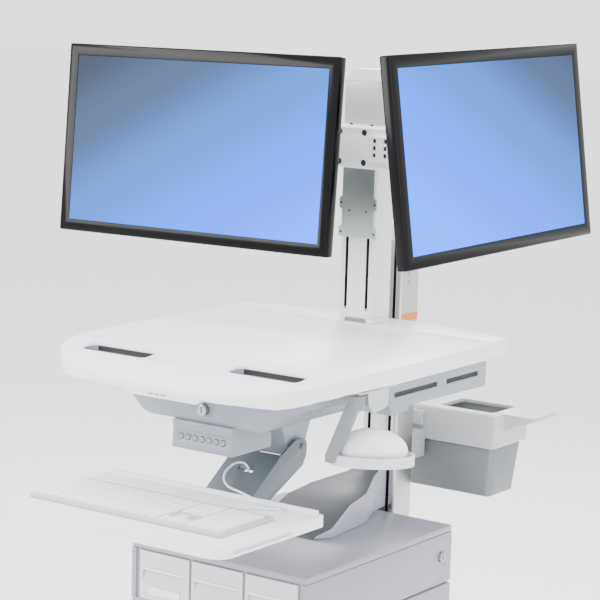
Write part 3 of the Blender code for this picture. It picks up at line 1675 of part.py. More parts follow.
# ---------------------------------------------------------------- mouse holder and mouse
def make_mouse_holder(lift):
    """A cup on a bent arm that swings on a pin under the worktop's right edge."""
    pin_x = HOLDER_PIN_X
    pin_y = HOLDER_PIN_Y
    plate_top = WORKTOP_TOP - WORKTOP_THICKNESS - 0.006
    plate_low = WORKTOP_TOP - 0.072
    plate_x = (pin_x + 0.004, pin_x + 0.0065)
    side = rounded(
        [
            (pin_y + 0.014, plate_top - 0.001, 0.0),
            (pin_y + 0.018, plate_low + 0.014, 0.004),
            (pin_y + 0.032, plate_low, 0.006),
            (pin_y + 0.074, plate_low + 0.006, 0.004),
            (pin_y + 0.076, plate_top - 0.001, 0.0),
        ],
        2,
    )
    bracket = extrusion("holder_bracket", side, "X", *plate_x, "bracket_steel")
    flange = extrusion(
        "bracket_flange",
        [
            (pin_x - 0.010, pin_y - 0.008),
            (plate_x[1] + 0.001, pin_y - 0.008),
            (plate_x[1] + 0.001, -0.290 - GAP),
            (HOUSING_HALF_TOP + GAP, -0.290 - GAP),
            (HOUSING_HALF_TOP + GAP, pin_y + 0.050),
            (pin_x - 0.010, pin_y + 0.050),
        ],
        "Z",
        plate_top - 0.003,
        plate_top,
    )
    pin = rod(
        "holder_pin",
        (pin_x, pin_y, plate_top - 0.032),
        (pin_x, pin_y, plate_top - 0.001),
        0.004,
        sides=16,
    )
    join(bracket, flange, pin)
    attach(lift, bracket)
    cup_bottom = WORKTOP_TOP - CUP_DROP
    cup_top = cup_bottom + CUP_HEIGHT
    swing = pivot("mouse_holder_swing", (pin_x, pin_y, plate_top), lift)
    cup = cup_solid("mouse_holder", 0.0, cup_bottom, cup_top, "pale_plastic")
    floor = cup_top - CUP_RECESS
    hollow = cup_solid("cup_hollow", CUP_WALL, floor, cup_top + 0.01, None)
    barrel_top = plate_top - 0.006
    barrel = rod(
        "holder_barrel",
        (pin_x, pin_y, barrel_top - 0.022),
        (pin_x, pin_y, barrel_top),
        0.009,
    )
    strut = extrusion(
        "holder_strut",
        [
            (pin_x + 0.002, barrel_top - 0.001),
            (pin_x + 0.004, barrel_top - 0.021),
            (pin_x - 0.036, cup_bottom + 0.004),
            (pin_x - 0.052, cup_bottom + 0.004),
            (pin_x - 0.052, cup_bottom + 0.016),
            (pin_x - 0.010, barrel_top - 0.001),
        ],
        "Y",
        pin_y - 0.015,
        pin_y - 0.003,
    )
    bore = rod(
        "holder_bore",
        (pin_x, pin_y, barrel_top - 0.040),
        (pin_x, pin_y, barrel_top + 0.010),
        0.004 + RUN,
        sides=16,
    )
    join(cup, barrel, strut)
    cut(cup, hollow, bore)
    attach(swing, cup)
    mouse = mouse_solid(floor + GAP)
    attach(pivot("mouse_lift_out", (CUP_X, CUP_Y, cup_top), swing), mouse)


def cup_solid(name, inset, low, high, look):
    """An oval with straight walls, turned to the cup's place."""
    half_length = CUP_LENGTH / 2 - inset
    half_depth = CUP_DEPTH / 2 - inset
    sides = 28
    turn = Matrix.Rotation(CUP_TURN, 2)
    outline = []
    for step in range(sides):
        angle = 2 * math.pi * step / sides
        spot = turn @ Vector((half_length * math.cos(angle), half_depth * math.sin(angle)))
        outline.append((CUP_X + spot.x, CUP_Y + spot.y))
    return extrusion(name, outline, "Z", low, high, look)


def mouse_solid(bottom):
    """A plain rounded body of the mouse's outer size."""
    shape = bmesh.new()
    bmesh.ops.create_uvsphere(shape, u_segments=20, v_segments=10, radius=1.0)
    for vertex in shape.verts:
        x, y, z = vertex.co
        z = max(z, -0.25)
        vertex.co = (x * MOUSE_LENGTH / 2, y * MOUSE_WIDTH / 2, (z + 0.25) / 1.25 * MOUSE_HEIGHT)
    bmesh.ops.remove_doubles(shape, verts=shape.verts, dist=0.00001)
    place = Matrix.Translation((CUP_X, CUP_Y, bottom)) @ Matrix.Rotation(CUP_TURN, 4, "Z")
    bmesh.ops.transform(shape, matrix=place, verts=shape.verts)
    mesh = bpy.data.meshes.new("mouse")
    shape.to_mesh(mesh)
    shape.free()
    mesh.shade_smooth()
    return make_object("mouse", mesh, "white_plastic")


# ---------------------------------------------------------------- the whole cart
def stand_on_origin(cart):
    """Moves the cart so that the origin is on the floor under the middle of its outline."""
    bpy.context.view_layer.update()
    graph = bpy.context.evaluated_depsgraph_get()
    low = Vector((math.inf,) * 3)
    high = Vector((-math.inf,) * 3)
    for piece in PARTS.objects:
        if piece.type == "EMPTY":
            continue
        evaluated = piece.evaluated_get(graph)
        mesh = evaluated.to_mesh()
        for vertex in mesh.vertices:
            place = evaluated.matrix_world @ vertex.co
            low = Vector(map(min, low, place))
            high = Vector(map(max, high, place))
        evaluated.to_mesh_clear()
    middle = (low + high) / 2
    cart.location = (-middle.x, -middle.y, -low.z)


def main():
    clear_scene()
    cart = pivot("cart", (0.0, 0.0, 0.0))
    make_base(cart)
    for end, y in (("front", CASTER_FRONT_Y), ("rear", CASTER_REAR_Y)):
        for side, x in (("left", -CASTER_X), ("right", CASTER_X)):
            make_caster(cart, side, end, x, y)
    make_mast(cart)
    make_cabinet(cart)
    make_bin(cart)
    lift = pivot("worktop_lift", (0.0, MAST_FRONT_Y, WORKTOP_TOP), cart)
    make_worktop(lift)
    make_rear_deck(lift)
    make_housing(lift)
    make_keypad(lift)
    make_carriage(lift)
    make_column(lift)
    bar = pivot("crossbar_slide", (0.0, COLUMN_FRONT_Y, BAR_MIDDLE), lift)
    make_crossbar(bar)
    make_monitor(bar, "left", LEFT_MONITOR)
    make_monitor(bar, "right", RIGHT_MONITOR)
    make_keyboard_arm(lift)
    make_mouse_holder(lift)
    stand_on_origin(cart)


main()
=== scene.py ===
import json
import math

import bpy
from mathutils import Matrix, Vector


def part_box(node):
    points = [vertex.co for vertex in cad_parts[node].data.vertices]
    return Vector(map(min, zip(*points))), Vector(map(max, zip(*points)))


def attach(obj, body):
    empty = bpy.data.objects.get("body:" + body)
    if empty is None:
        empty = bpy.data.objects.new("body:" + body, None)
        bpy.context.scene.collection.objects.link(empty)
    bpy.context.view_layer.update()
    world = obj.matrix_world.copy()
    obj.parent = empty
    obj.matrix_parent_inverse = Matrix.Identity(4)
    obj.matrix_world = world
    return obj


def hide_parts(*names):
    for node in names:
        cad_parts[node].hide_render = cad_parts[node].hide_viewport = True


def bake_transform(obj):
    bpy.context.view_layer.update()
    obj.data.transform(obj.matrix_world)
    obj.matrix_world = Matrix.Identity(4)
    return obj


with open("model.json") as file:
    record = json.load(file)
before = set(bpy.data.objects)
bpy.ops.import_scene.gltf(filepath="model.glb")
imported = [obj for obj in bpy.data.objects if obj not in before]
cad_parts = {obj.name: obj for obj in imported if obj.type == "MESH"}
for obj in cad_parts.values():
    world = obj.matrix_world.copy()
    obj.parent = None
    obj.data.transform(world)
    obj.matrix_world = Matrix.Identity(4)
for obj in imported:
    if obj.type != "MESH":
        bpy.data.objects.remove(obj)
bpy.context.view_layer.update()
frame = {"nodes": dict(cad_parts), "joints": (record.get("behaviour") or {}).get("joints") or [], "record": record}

# ---------------------------------------------------------------- places taken from the frame
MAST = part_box("mast")
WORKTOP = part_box("worktop")
MIDDLE_X = (MAST[0].x + MAST[1].x) / 2
SEAM_Y = WORKTOP[1].y + 0.0186
TOP = WORKTOP[1].z

BODY_OF = {
    node: body
    for body, members in frame["record"]["behaviour"]["bodies"].items()
    for node in members
}
SLOT_OF = {part["node"]: part["material_slot"] for part in frame["record"]["subparts"]}


def at(x, y, z):
    """A place measured from the middle of the worktop's back edge, at the worktop's top."""
    return Vector((MIDDLE_X + x, SEAM_Y + y, TOP + z))


# ---------------------------------------------------------------- camera, light and floor
CAMERA_PLACE = Vector((2.0894, -2.8945, 1.552))
CAMERA_AROUND = math.radians(34.899)
CAMERA_DOWN = math.radians(8.71)
CAMERA_ROLL = math.radians(1.747)
CAMERA_LENS = 125.27
FLOOR_SIZE = 60.0


def add_camera():
    around, down = CAMERA_AROUND, CAMERA_DOWN
    back = Vector(
        (
            math.sin(around) * math.cos(down),
            -math.cos(around) * math.cos(down),
            math.sin(down),
        )
    )
    right = Vector((math.cos(around), math.sin(around), 0.0))
    up = back.cross(right)
    rolled_right = right * math.cos(CAMERA_ROLL) + up * math.sin(CAMERA_ROLL)
    rolled_up = up * math.cos(CAMERA_ROLL) - right * math.sin(CAMERA_ROLL)
    lens = bpy.data.cameras.new("camera")
    lens.lens = CAMERA_LENS
    lens.sensor_width = 36.0
    lens.clip_end = 100.0
    camera = bpy.data.objects.new("camera", lens)
    bpy.context.scene.collection.objects.link(camera)
    turn = Matrix((rolled_right, rolled_up, back)).transposed().to_4x4()
    camera.matrix_world = Matrix.Translation(CAMERA_PLACE) @ turn
    bpy.context.scene.camera = camera


def add_lamp(name, place, aim, size, power):
    lamp = bpy.data.lights.new(name, "AREA")
    lamp.shape = "RECTANGLE"
    lamp.size, lamp.size_y = size
    lamp.energy = power
    holder = bpy.data.objects.new(name, lamp)
    bpy.context.scene.collection.objects.link(holder)
    facing = (Vector(aim) - Vector(place)).to_track_quat("-Z", "Y").to_matrix().to_4x4()
    holder.matrix_world = Matrix.Translation(Vector(place)) @ facing


def add_studio():
    add_lamp("overhead_softbox", (0.2, -0.4, 3.4), (0.0, 0.0, 0.9), (2.6, 2.6), 110)
    add_lamp("front_left_softbox", (-2.2, -2.6, 2.2), (0.0, 0.0, 0.9), (1.8, 2.2), 150)
    add_lamp("right_fill", (2.8, -0.6, 1.6), (0.0, 0.0, 0.8), (1.6, 2.0), 40)
    add_lamp("back_rim", (-0.8, 2.8, 2.4), (0.0, 0.0, 1.0), (2.0, 1.4), 70)
    world = bpy.data.worlds.new("studio")
    world.use_nodes = True
    background = world.node_tree.nodes["Background"]
    background.inputs["Color"].default_value = (0.96, 0.97, 1.0, 1.0)
    background.inputs["Strength"].default_value = 2.3
    bpy.context.scene.world = world
    clear_selection()
    bpy.ops.mesh.primitive_plane_add(size=FLOOR_SIZE, location=(0.0, 0.0, 0.0))
    floor = bpy.context.object
    floor.name = "studio_floor"
    paint = bpy.data.materials.new("pale_floor")
    paint.use_nodes = True
    shader = paint.node_tree.nodes["Principled BSDF"]
    shader.inputs["Base Color"].default_value = (0.93, 0.93, 0.93, 1.0)
    shader.inputs["Roughness"].default_value = 0.6
    floor.data.materials.append(paint)


# ---------------------------------------------------------------- effects that the finishes share
def new_group(name, inputs, outputs):
    group = bpy.data.node_groups.new(name, "ShaderNodeTree")
    for label, kind, value in inputs:
        socket = group.interface.new_socket(label, in_out="INPUT", socket_type=kind)
        if value is not None:
            socket.default_value = value
    for label, kind in outputs:
        group.interface.new_socket(label, in_out="OUTPUT", socket_type=kind)
    return group, group.nodes.new("NodeGroupInput"), group.nodes.new("NodeGroupOutput")


def noise_node(tree, scale, detail, roughness=0.55):
    noise = tree.nodes.new("ShaderNodeTexNoise")
    noise.inputs["Scale"].default_value = scale
    noise.inputs["Detail"].default_value = detail
    noise.inputs["Roughness"].default_value = roughness
    return noise


def range_node(tree, source, low, high, to_low, to_high):
    ranger = tree.nodes.new("ShaderNodeMapRange")
    ranger.inputs["From Min"].default_value = low
    ranger.inputs["From Max"].default_value = high
    ranger.inputs["To Min"].default_value = to_low
    ranger.inputs["To Max"].default_value = to_high
    tree.links.new(source, ranger.inputs["Value"])
    return ranger.outputs["Result"]


def build_grain_group():
    """Moulded or sprayed grain: a fine pebble over a broader waviness."""
    group, entry, leave = new_group(
        "fine_grain",
        [("Vector", "NodeSocketVector", None), ("Pebble Scale", "NodeSocketFloat", 900.0)],
        [("Height", "NodeSocketFloat"), ("Waviness", "NodeSocketFloat")],
    )
    pebble = noise_node(group, 900.0, 3.0, 0.6)
    group.links.new(entry.outputs["Vector"], pebble.inputs["Vector"])
    group.links.new(entry.outputs["Pebble Scale"], pebble.inputs["Scale"])
    wave = noise_node(group, 38.0, 2.0)
    group.links.new(entry.outputs["Vector"], wave.inputs["Vector"])
    total = group.nodes.new("ShaderNodeMath")
    total.operation = "MULTIPLY_ADD"
    total.inputs[1].default_value = 0.6
    group.links.new(wave.outputs["Fac"], total.inputs[0])
    group.links.new(pebble.outputs["Fac"], total.inputs[2])
    group.links.new(total.outputs["Value"], leave.inputs["Height"])
    group.links.new(wave.outputs["Fac"], leave.inputs["Waviness"])
    return group


def build_handling_group():
    """Slight colour drift, patchy dust, and faint wipe marks."""
    group, entry, leave = new_group(
        "handling",
        [
            ("Vector", "NodeSocketVector", None),
            ("Color", "NodeSocketColor", (0.8, 0.8, 0.8, 1.0)),
            ("Soiled Color", "NodeSocketColor", (0.5, 0.5, 0.48, 1.0)),
            ("Amount", "NodeSocketFloat", 0.1),
        ],
        [("Color", "NodeSocketColor"), ("Marks", "NodeSocketFloat")],
    )
    cloud = noise_node(group, 9.0, 4.0)
    group.links.new(entry.outputs["Vector"], cloud.inputs["Vector"])
    stretch = group.nodes.new("ShaderNodeMapping")
    stretch.inputs["Scale"].default_value = (5.0, 60.0, 20.0)
    stretch.inputs["Rotation"].default_value = (0.3, 0.2, 0.6)
    group.links.new(entry.outputs["Vector"], stretch.inputs["Vector"])
    wipe = noise_node(group, 1.6, 5.0, 0.65)
    group.links.new(stretch.outputs["Vector"], wipe.inputs["Vector"])
    cloud_mask = range_node(group, cloud.outputs["Fac"], 0.42, 0.78, 0.0, 1.0)
    wipe_mask = range_node(group, wipe.outputs["Fac"], 0.52, 0.80, 0.0, 1.0)
    both = group.nodes.new("ShaderNodeMath")
    both.operation = "MULTIPLY_ADD"
    both.inputs[1].default_value = 0.5
    group.links.new(wipe_mask, both.inputs[0])
    group.links.new(cloud_mask, both.inputs[2])
    amount = group.nodes.new("ShaderNodeMath")
    amount.operation = "MULTIPLY"
    amount.use_clamp = True
    group.links.new(both.outputs["Value"], amount.inputs[0])
    group.links.new(entry.outputs["Amount"], amount.inputs[1])
    blend = group.nodes.new("ShaderNodeMix")
    blend.data_type = "RGBA"
    group.links.new(amount.outputs["Value"], blend.inputs["Factor"])
    group.links.new(entry.outputs["Color"], blend.inputs[6])
    group.links.new(entry.outputs["Soiled Color"], blend.inputs[7])
    group.links.new(blend.outputs[2], leave.inputs["Color"])
    group.links.new(both.outputs["Value"], leave.inputs["Marks"])
    return group


def build_brush_group():
    """Long fine scratches of drawn or brushed metal, along one direction."""
    group, entry, leave = new_group(
        "drawn_lines",
        [("Vector", "NodeSocketVector", None)],
        [("Height", "NodeSocketFloat")],
    )
    lines = noise_node(group, 1.0, 3.0, 0.7)
    group.links.new(entry.outputs["Vector"], lines.inputs["Vector"])
    group.links.new(lines.outputs["Fac"], leave.inputs["Height"])
    return group


GRAIN = build_grain_group()
HANDLING = build_handling_group()
BRUSH = build_brush_group()


# ---------------------------------------------------------------- finishes
def base_finish(name, metallic, coat=0.0, coat_roughness=0.1):
    material = bpy.data.materials.new(name)
    material.use_nodes = True
    tree = material.node_tree
    shader = tree.nodes["Principled BSDF"]
    shader.inputs["Metallic"].default_value = metallic
    shader.inputs["Coat Weight"].default_value = coat
    shader.inputs["Coat Roughness"].default_value = coat_roughness
    place = tree.nodes.new("ShaderNodeTexCoord").outputs["Object"]
    return material, tree, shader, place


def add_handling(tree, shader, place, colour, soiled, amount, rough):
    marks = tree.nodes.new("ShaderNodeGroup")
    marks.node_tree = HANDLING
    marks.inputs["Color"].default_value = (*colour, 1.0)
    marks.inputs["Soiled Color"].default_value = (*soiled, 1.0)
    marks.inputs["Amount"].default_value = amount
    tree.links.new(place, marks.inputs["Vector"])
    tree.links.new(marks.outputs["Color"], shader.inputs["Base Color"])
    shine = range_node(tree, marks.outputs["Marks"], 0.0, 1.2, rough[0], rough[1])
    tree.links.new(shine, shader.inputs["Roughness"])


def add_bump(tree, shader, height, strength, distance):
    bump = tree.nodes.new("ShaderNodeBump")
    bump.inputs["Strength"].default_value = strength
    bump.inputs["Distance"].default_value = distance
    tree.links.new(height, bump.inputs["Height"])
    tree.links.new(bump.outputs["Normal"], shader.inputs["Normal"])


def moulded(name, colour, rough=(0.36, 0.52), pebble=900.0, strength=0.25, amount=0.10, coat=0.0):
    """Plastic or powder coat: fine grain, slight wipe marks and colour drift."""
    material, tree, shader, place = base_finish(name, 0.0, coat)
    soiled = tuple(channel * shade for channel, shade in zip(colour, (0.80, 0.81, 0.82)))
    add_handling(tree, shader, place, colour, soiled, amount, rough)
    grain = tree.nodes.new("ShaderNodeGroup")
    grain.node_tree = GRAIN
    grain.inputs["Pebble Scale"].default_value = pebble
    tree.links.new(place, grain.inputs["Vector"])
    add_bump(tree, shader, grain.outputs["Height"], strength, 0.0004)
    return material


def glossy_black(name):
    """Polished black plastic with a little dust and a weak reflection."""
    material = moulded(name, (0.0025, 0.0025, 0.003), (0.12, 0.26), 600.0, 0.03, 0.06)
    shader = material.node_tree.nodes["Principled BSDF"]
    shader.inputs["Specular IOR Level"].default_value = 0.12
    return material


def drawn_metal(name, colour, stretch, rough=(0.26, 0.42), strength=0.2, metallic=1.0):
    """Metal with fine lines along the direction that stretch leaves small."""
    material, tree, shader, place = base_finish(name, metallic)
    soiled = tuple(channel * 0.82 for channel in colour)
    add_handling(tree, shader, place, colour, soiled, 0.25, rough)
    mapping = tree.nodes.new("ShaderNodeMapping")
    mapping.inputs["Scale"].default_value = stretch
    tree.links.new(place, mapping.inputs["Vector"])
    lines = tree.nodes.new("ShaderNodeGroup")
    lines.node_tree = BRUSH
    tree.links.new(mapping.outputs["Vector"], lines.inputs["Vector"])
    add_bump(tree, shader, lines.outputs["Height"], strength, 0.0002)
    return material


DISPLAY_GLOW = 4.4
DISPLAY_RAMP = (
    (0.00, (0.0102, 0.0150, 0.0227)),
    (0.25, (0.0227, 0.0386, 0.0886)),
    (0.50, (0.0170, 0.0955, 0.3640)),
    (0.75, (0.0023, 0.1070, 0.8200)),
    (1.00, (0.0018, 0.1480, 1.0000)),
)


def display(name, dark_side):
    """A lit panel, dark at one upper corner and sky blue at the opposite lower one."""
    material, tree, shader, _ = base_finish(name, 0.0)
    spread = tree.nodes.new("ShaderNodeUVMap")
    spread.uv_map = "panel"
    parts = tree.nodes.new("ShaderNodeSeparateXYZ")
    tree.links.new(spread.outputs["UV"], parts.inputs["Vector"])
    across = range_node(
        tree, parts.outputs["X"], 0.0, 1.0, *((0.0, 0.5) if dark_side == "left" else (0.62, 0.12))
    )
    down = range_node(tree, parts.outputs["Y"], 0.0, 1.0, 0.5, 0.0)
    total = tree.nodes.new("ShaderNodeMath")
    total.operation = "ADD"
    tree.links.new(across, total.inputs[0])
    tree.links.new(down, total.inputs[1])
    ramp = tree.nodes.new("ShaderNodeValToRGB")
    ramp.color_ramp.interpolation = "EASE"
    stops = ramp.color_ramp.elements
    while len(stops) < len(DISPLAY_RAMP):
        stops.new(0.5)
    for stop, (position, colour) in zip(stops, DISPLAY_RAMP):
        stop.position = position
        stop.color = (*colour, 1.0)
    tree.links.new(total.outputs["Value"], ramp.inputs["Fac"])
    tree.links.new(ramp.outputs["Color"], shader.inputs["Emission Color"])
    shader.inputs["Emission Strength"].default_value = DISPLAY_GLOW
    shader.inputs["Base Color"].default_value = (0.006, 0.008, 0.012, 1.0)
    shader.inputs["Roughness"].default_value = 0.30
    shader.inputs["Specular IOR Level"].default_value = 0.05
    return material


FINISHES = {
    "white_plastic": moulded("white_plastic", (0.84, 0.84, 0.855), (0.30, 0.46)),
    "pale_plastic": moulded("pale_plastic", (0.60, 0.62, 0.645)),
    "blue_grey_plastic": moulded("blue_grey_plastic", (0.26, 0.285, 0.32)),
    "arm_grey": moulded("arm_grey", (0.115, 0.135, 0.15)),
    "cabinet_grey": moulded("cabinet_grey", (0.27, 0.275, 0.31), (0.34, 0.46), 420.0, 0.3, 0.08),
    "drawer_plastic": moulded("drawer_plastic", (0.56, 0.565, 0.57), (0.24, 0.40), 700.0, 0.12),
    "cover_pale": moulded("cover_pale", (0.52, 0.52, 0.52), (0.22, 0.34), 500.0, 0.05, 0.08),
    "card_white": moulded("card_white", (0.80, 0.80, 0.81), (0.5, 0.65), 1500.0, 0.1, 0.05),
    "dark_shroud": moulded("dark_shroud", (0.085, 0.087, 0.098), (0.42, 0.58)),
    "shroud_side": moulded("shroud_side", (0.36, 0.365, 0.43), (0.40, 0.55)),
    "bin_grey": moulded("bin_grey", (0.17, 0.18, 0.19), (0.36, 0.5)),
    "rim_pale": moulded("rim_pale", (0.46, 0.47, 0.475), (0.32, 0.46)),
    "black_gloss": glossy_black("black_gloss"),
    "black_matt": moulded("black_matt", (0.012, 0.012, 0.013), (0.55, 0.7), 800.0, 0.3, 0.1),
    "dark_rubber": moulded("dark_rubber", (0.030, 0.030, 0.033), (0.62, 0.85), 1300.0, 0.5, 0.35),
    "hub_grey": moulded("hub_grey", (0.30, 0.32, 0.34), (0.38, 0.5)),
    "mouse_white": moulded("mouse_white", (0.85, 0.85, 0.86), (0.12, 0.22), 500.0, 0.03, 0.05, 0.4),
    "key_white": moulded("key_white", (0.83, 0.83, 0.85), (0.38, 0.52), 1400.0, 0.2, 0.08),
    "pedal_grey": moulded("pedal_grey", (0.25, 0.28, 0.32), (0.4, 0.55)),
    "lever_grey": moulded("lever_grey", (0.20, 0.21, 0.22), (0.35, 0.5)),
    "orange_band": moulded("orange_band", (0.75, 0.17, 0.006), (0.32, 0.45), 900.0, 0.1, 0.1),
    "status_green": moulded("status_green", (0.10, 0.50, 0.16), (0.15, 0.25), 900.0, 0.05, 0.05),
    "mast_aluminium": drawn_metal("mast_aluminium", (0.54, 0.535, 0.515), (900.0, 900.0, 14.0)),
    "base_metal": moulded("base_metal", (0.36, 0.37, 0.39), (0.32, 0.46), 500.0, 0.3, 0.12),
    "bracket_steel": drawn_metal(
        "bracket_steel", (0.52, 0.57, 0.555), (40.0, 700.0, 700.0), (0.3, 0.48), 0.15, 0.85
    ),
    "lock_steel": drawn_metal("lock_steel", (0.40, 0.40, 0.41), (600.0, 600.0, 600.0)),
    "screw_steel": drawn_metal("screw_steel", (0.42, 0.43, 0.44), (500.0, 500.0, 500.0)),
    "display_left": display("display_left", "left"),
    "display_right": display("display_right", "right"),
}


# ---------------------------------------------------------------- tools for making pieces
FACING = 0.9
WELD = 0.00002


def clear_selection():
    for item in list(bpy.context.selected_objects):
        item.select_set(False)


def alone(piece):
    clear_selection()
    piece.select_set(True)
    bpy.context.view_layer.objects.active = piece


def settle(piece):
    """Puts the object's place and size into its mesh."""
    alone(piece)
    bpy.ops.object.transform_apply(location=True, rotation=True, scale=True)


def smooth(piece, angle=35):
    alone(piece)
    bpy.ops.object.shade_smooth_by_angle(angle=math.radians(angle))


def round_edges(piece, width, segments=2):
    if width <= 0:
        return
    alone(piece)
    bevel = piece.modifiers.new("rounded", "BEVEL")
    bevel.width = width
    bevel.segments = segments
    bevel.limit_method = "ANGLE"
    bevel.angle_limit = math.radians(32)
    bpy.ops.object.modifier_apply(modifier=bevel.name)


def block(name, low, high, edge=0.0008, segments=2):
    """A block between two corners, with rounded edges."""
    clear_selection()
    low, high = Vector(low), Vector(high)
    bpy.ops.mesh.primitive_cube_add(size=1.0, location=(low + high) / 2)
    piece = bpy.context.object
    piece.name = name
    piece.scale = high - low
    settle(piece)
    round_edges(piece, edge, segments)
    smooth(piece)
    return piece


def edit_faces(piece, wanted):
    """Opens the piece for editing with only the faces that wanted() picks selected."""
    alone(piece)
    for item in (*piece.data.vertices, *piece.data.edges, *piece.data.polygons):
        item.select = False
    for face in piece.data.polygons:
        face.select = wanted(face)
    bpy.ops.object.mode_set(mode="EDIT")
    bpy.ops.mesh.select_mode(type="FACE")


def inset_faces(piece, direction, thickness, depth):
    """Insets the faces that look in one direction and pushes them in by depth."""
    way = Vector(direction)
    facing = [face for face in piece.data.polygons if face.normal.dot(way) > FACING]
    limit = max(way.dot(face.center) for face in facing) - 0.00001
    edit_faces(
        piece, lambda face: face.normal.dot(way) > FACING and way.dot(face.center) > limit
    )
    bpy.ops.mesh.inset(thickness=thickness, depth=-depth)
    bpy.ops.object.mode_set(mode="OBJECT")


def disc(name, centre, axis, radius, depth, edge=0.0004, sides=32):
    """A round boss whose middle is at centre, along axis."""
    clear_selection()
    bpy.ops.mesh.primitive_cylinder_add(
        vertices=sides, radius=radius, depth=depth, end_fill_type="NGON", location=centre
    )
    piece = bpy.context.object
    piece.name = name
    piece.rotation_mode = "QUATERNION"
    piece.rotation_quaternion = Vector(axis).to_track_quat("Z", "Y")
    settle(piece)
    round_edges(piece, edge)
    smooth(piece)
    return piece


def copies(piece, name, places):
    """One piece made of the first and its copies, shifted to each place."""
    made = []
    for place in places:
        other = piece.copy()
        other.data = piece.data.copy()
        bpy.context.scene.collection.objects.link(other)
        other.location = place
        made.append(other)
    bpy.data.objects.remove(piece)
    clear_selection()
    for other in made:
        other.select_set(True)
    bpy.context.view_layer.objects.active = made[0]
    if len(made) > 1:
        bpy.ops.object.join()
    whole = bpy.context.view_layer.objects.active
    whole.name = name
    settle(whole)
    return whole


def turned_to(piece, place):
    """Moves a piece that was made around the world's origin to the frame that place gives."""
    piece.data.transform(place)
    return piece


def show(piece, body, finish):
    piece.data.materials.clear()
    piece.data.materials.append(FINISHES[finish])
    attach(piece, body)
    return piece


def copy_of(node, name):
    piece = bpy.data.objects.new(name, frame["nodes"][node].data.copy())
    bpy.context.scene.collection.objects.link(piece)
    alone(piece)
    return piece


def welded_copy(node, joined):
    """A copy of the frame's node as one skin, with its flat facets joined or left alone."""
    piece = copy_of(node, f"{node}_finished")
    if piece.data.has_custom_normals:
        bpy.ops.mesh.customdata_custom_splitnormals_clear()
    bpy.ops.object.mode_set(mode="EDIT")
    bpy.ops.mesh.select_all(action="SELECT")
    bpy.ops.mesh.remove_doubles(threshold=WELD)
    if joined:
        bpy.ops.mesh.dissolve_limited(angle_limit=math.radians(0.4))
    bpy.ops.object.mode_set(mode="OBJECT")
    return piece


def refined(node, finish, edge=0.0006, segments=2, angle=25):
    """A copy of the frame's node with rounded edges, or welded only where edge is 0, in its place."""
    piece = welded_copy(node, edge > 0)
    round_edges(piece, edge, segments)
    smooth(piece, angle)
    show(piece, BODY_OF[node], finish)
    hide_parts(node)
    return piece


def second_finish(piece, finish, wanted):
    """Gives another finish to the faces that wanted() picks by their middle and normal."""
    piece.data.materials.append(FINISHES[finish])
    for face in piece.data.polygons:
        if wanted(face.center, face.normal):
            face.material_index = 1


def screw(name, centre, axis, radius=0.0032):
    """A pan-head screw with a socket in its face."""
    head = disc(name, centre, axis, radius, 0.0024, 0.0007, 20)
    inset_faces(head, axis, radius * 0.42, 0.0)
    inset_again(head, radius * 0.10, 0.0012)
    return head


def inset_again(piece, thickness, depth):
    """Insets the faces that the last inset left selected, such as a screw's socket."""
    alone(piece)
    bpy.ops.object.mode_set(mode="EDIT")
    bpy.ops.mesh.inset(thickness=thickness, depth=-depth)
    bpy.ops.object.mode_set(mode="OBJECT")


# ---------------------------------------------------------------- carried-over nodes
EDGES = {
    "worktop": 0.0011,
    "rear_deck": 0.0012,
    "computer_housing": 0.0015,
    "keyboard_tray": 0.0008,
    "column_shroud": 0.002,
    "base_frame": 0.002,
    "bin_tub": 0.0008,
    "bin_rim": 0.0012,
    "mast": 0.0004,
    "head_column": 0.0004,
    "slider_plate": 0.0,
    "cabinet_lock": 0.0003,
    "front_lock": 0.0003,
}
FINISH_OF_SLOT = {
    "tyre_and_hub": "dark_rubber",
    "cable_sheath": "white_plastic",
}
FINISH_OF_NODE = {
    "keyboard_arm": "arm_grey",
    "brake_pedal_left": "pedal_grey",
    "brake_pedal_right": "pedal_grey",
    "mouse": "mouse_white",
    "bin_rim": "rim_pale",
    "bin_bracket": "hub_grey",
    "screen_left": "display_left",
    "screen_right": "display_right",
}
REMADE = ("keyboard", "mouse", "screen_left", "screen_right", "keyboard_cable", "head_cap")


def finish_nodes():
    for node, slot in SLOT_OF.items():
        if node in REMADE:
            continue
        finish = FINISH_OF_NODE.get(node, FINISH_OF_SLOT.get(slot, slot))
        piece = refined(node, finish, EDGES.get(node, 0.0006))
        if node == "column_shroud":
            second_finish(piece, "shroud_side", lambda _, normal: abs(normal.x) > 0.45)
        if node == "mouse_holder":
            cup_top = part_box("mouse")[0].z + 0.006
            second_finish(piece, "lever_grey", lambda middle, _: middle.z > cup_top)


# ---------------------------------------------------------------- monitors
def panel_frame(side):
    """A frame on the screen's middle: X across, Y into the panel, Z up it, and its size."""
    screen = frame["nodes"][f"screen_{side}"].data
    low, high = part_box(f"screen_{side}")
    middle = (low + high) / 2
    case_low, case_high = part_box(f"monitor_case_{side}")
    tilt = next(j for j in frame["joints"] if j["name"] == f"monitor_tilt_{side}")
    across = Vector(tilt["axis"]).normalized()
    widest = max(screen.polygons, key=lambda face: face.area)
    outward = widest.normal.copy()
    if outward.dot(middle - (case_low + case_high) / 2) < 0:
        outward.negate()
    upward = across.cross(-outward).normalized()
    corners = [vertex.co - middle for vertex in screen.vertices]
    width = 2 * max(corner.dot(across) for corner in corners)
    height = 2 * max(corner.dot(upward) for corner in corners)
    turn = Matrix((across, -outward, upward)).transposed().to_4x4()
    return Matrix.Translation(middle) @ turn, width, height


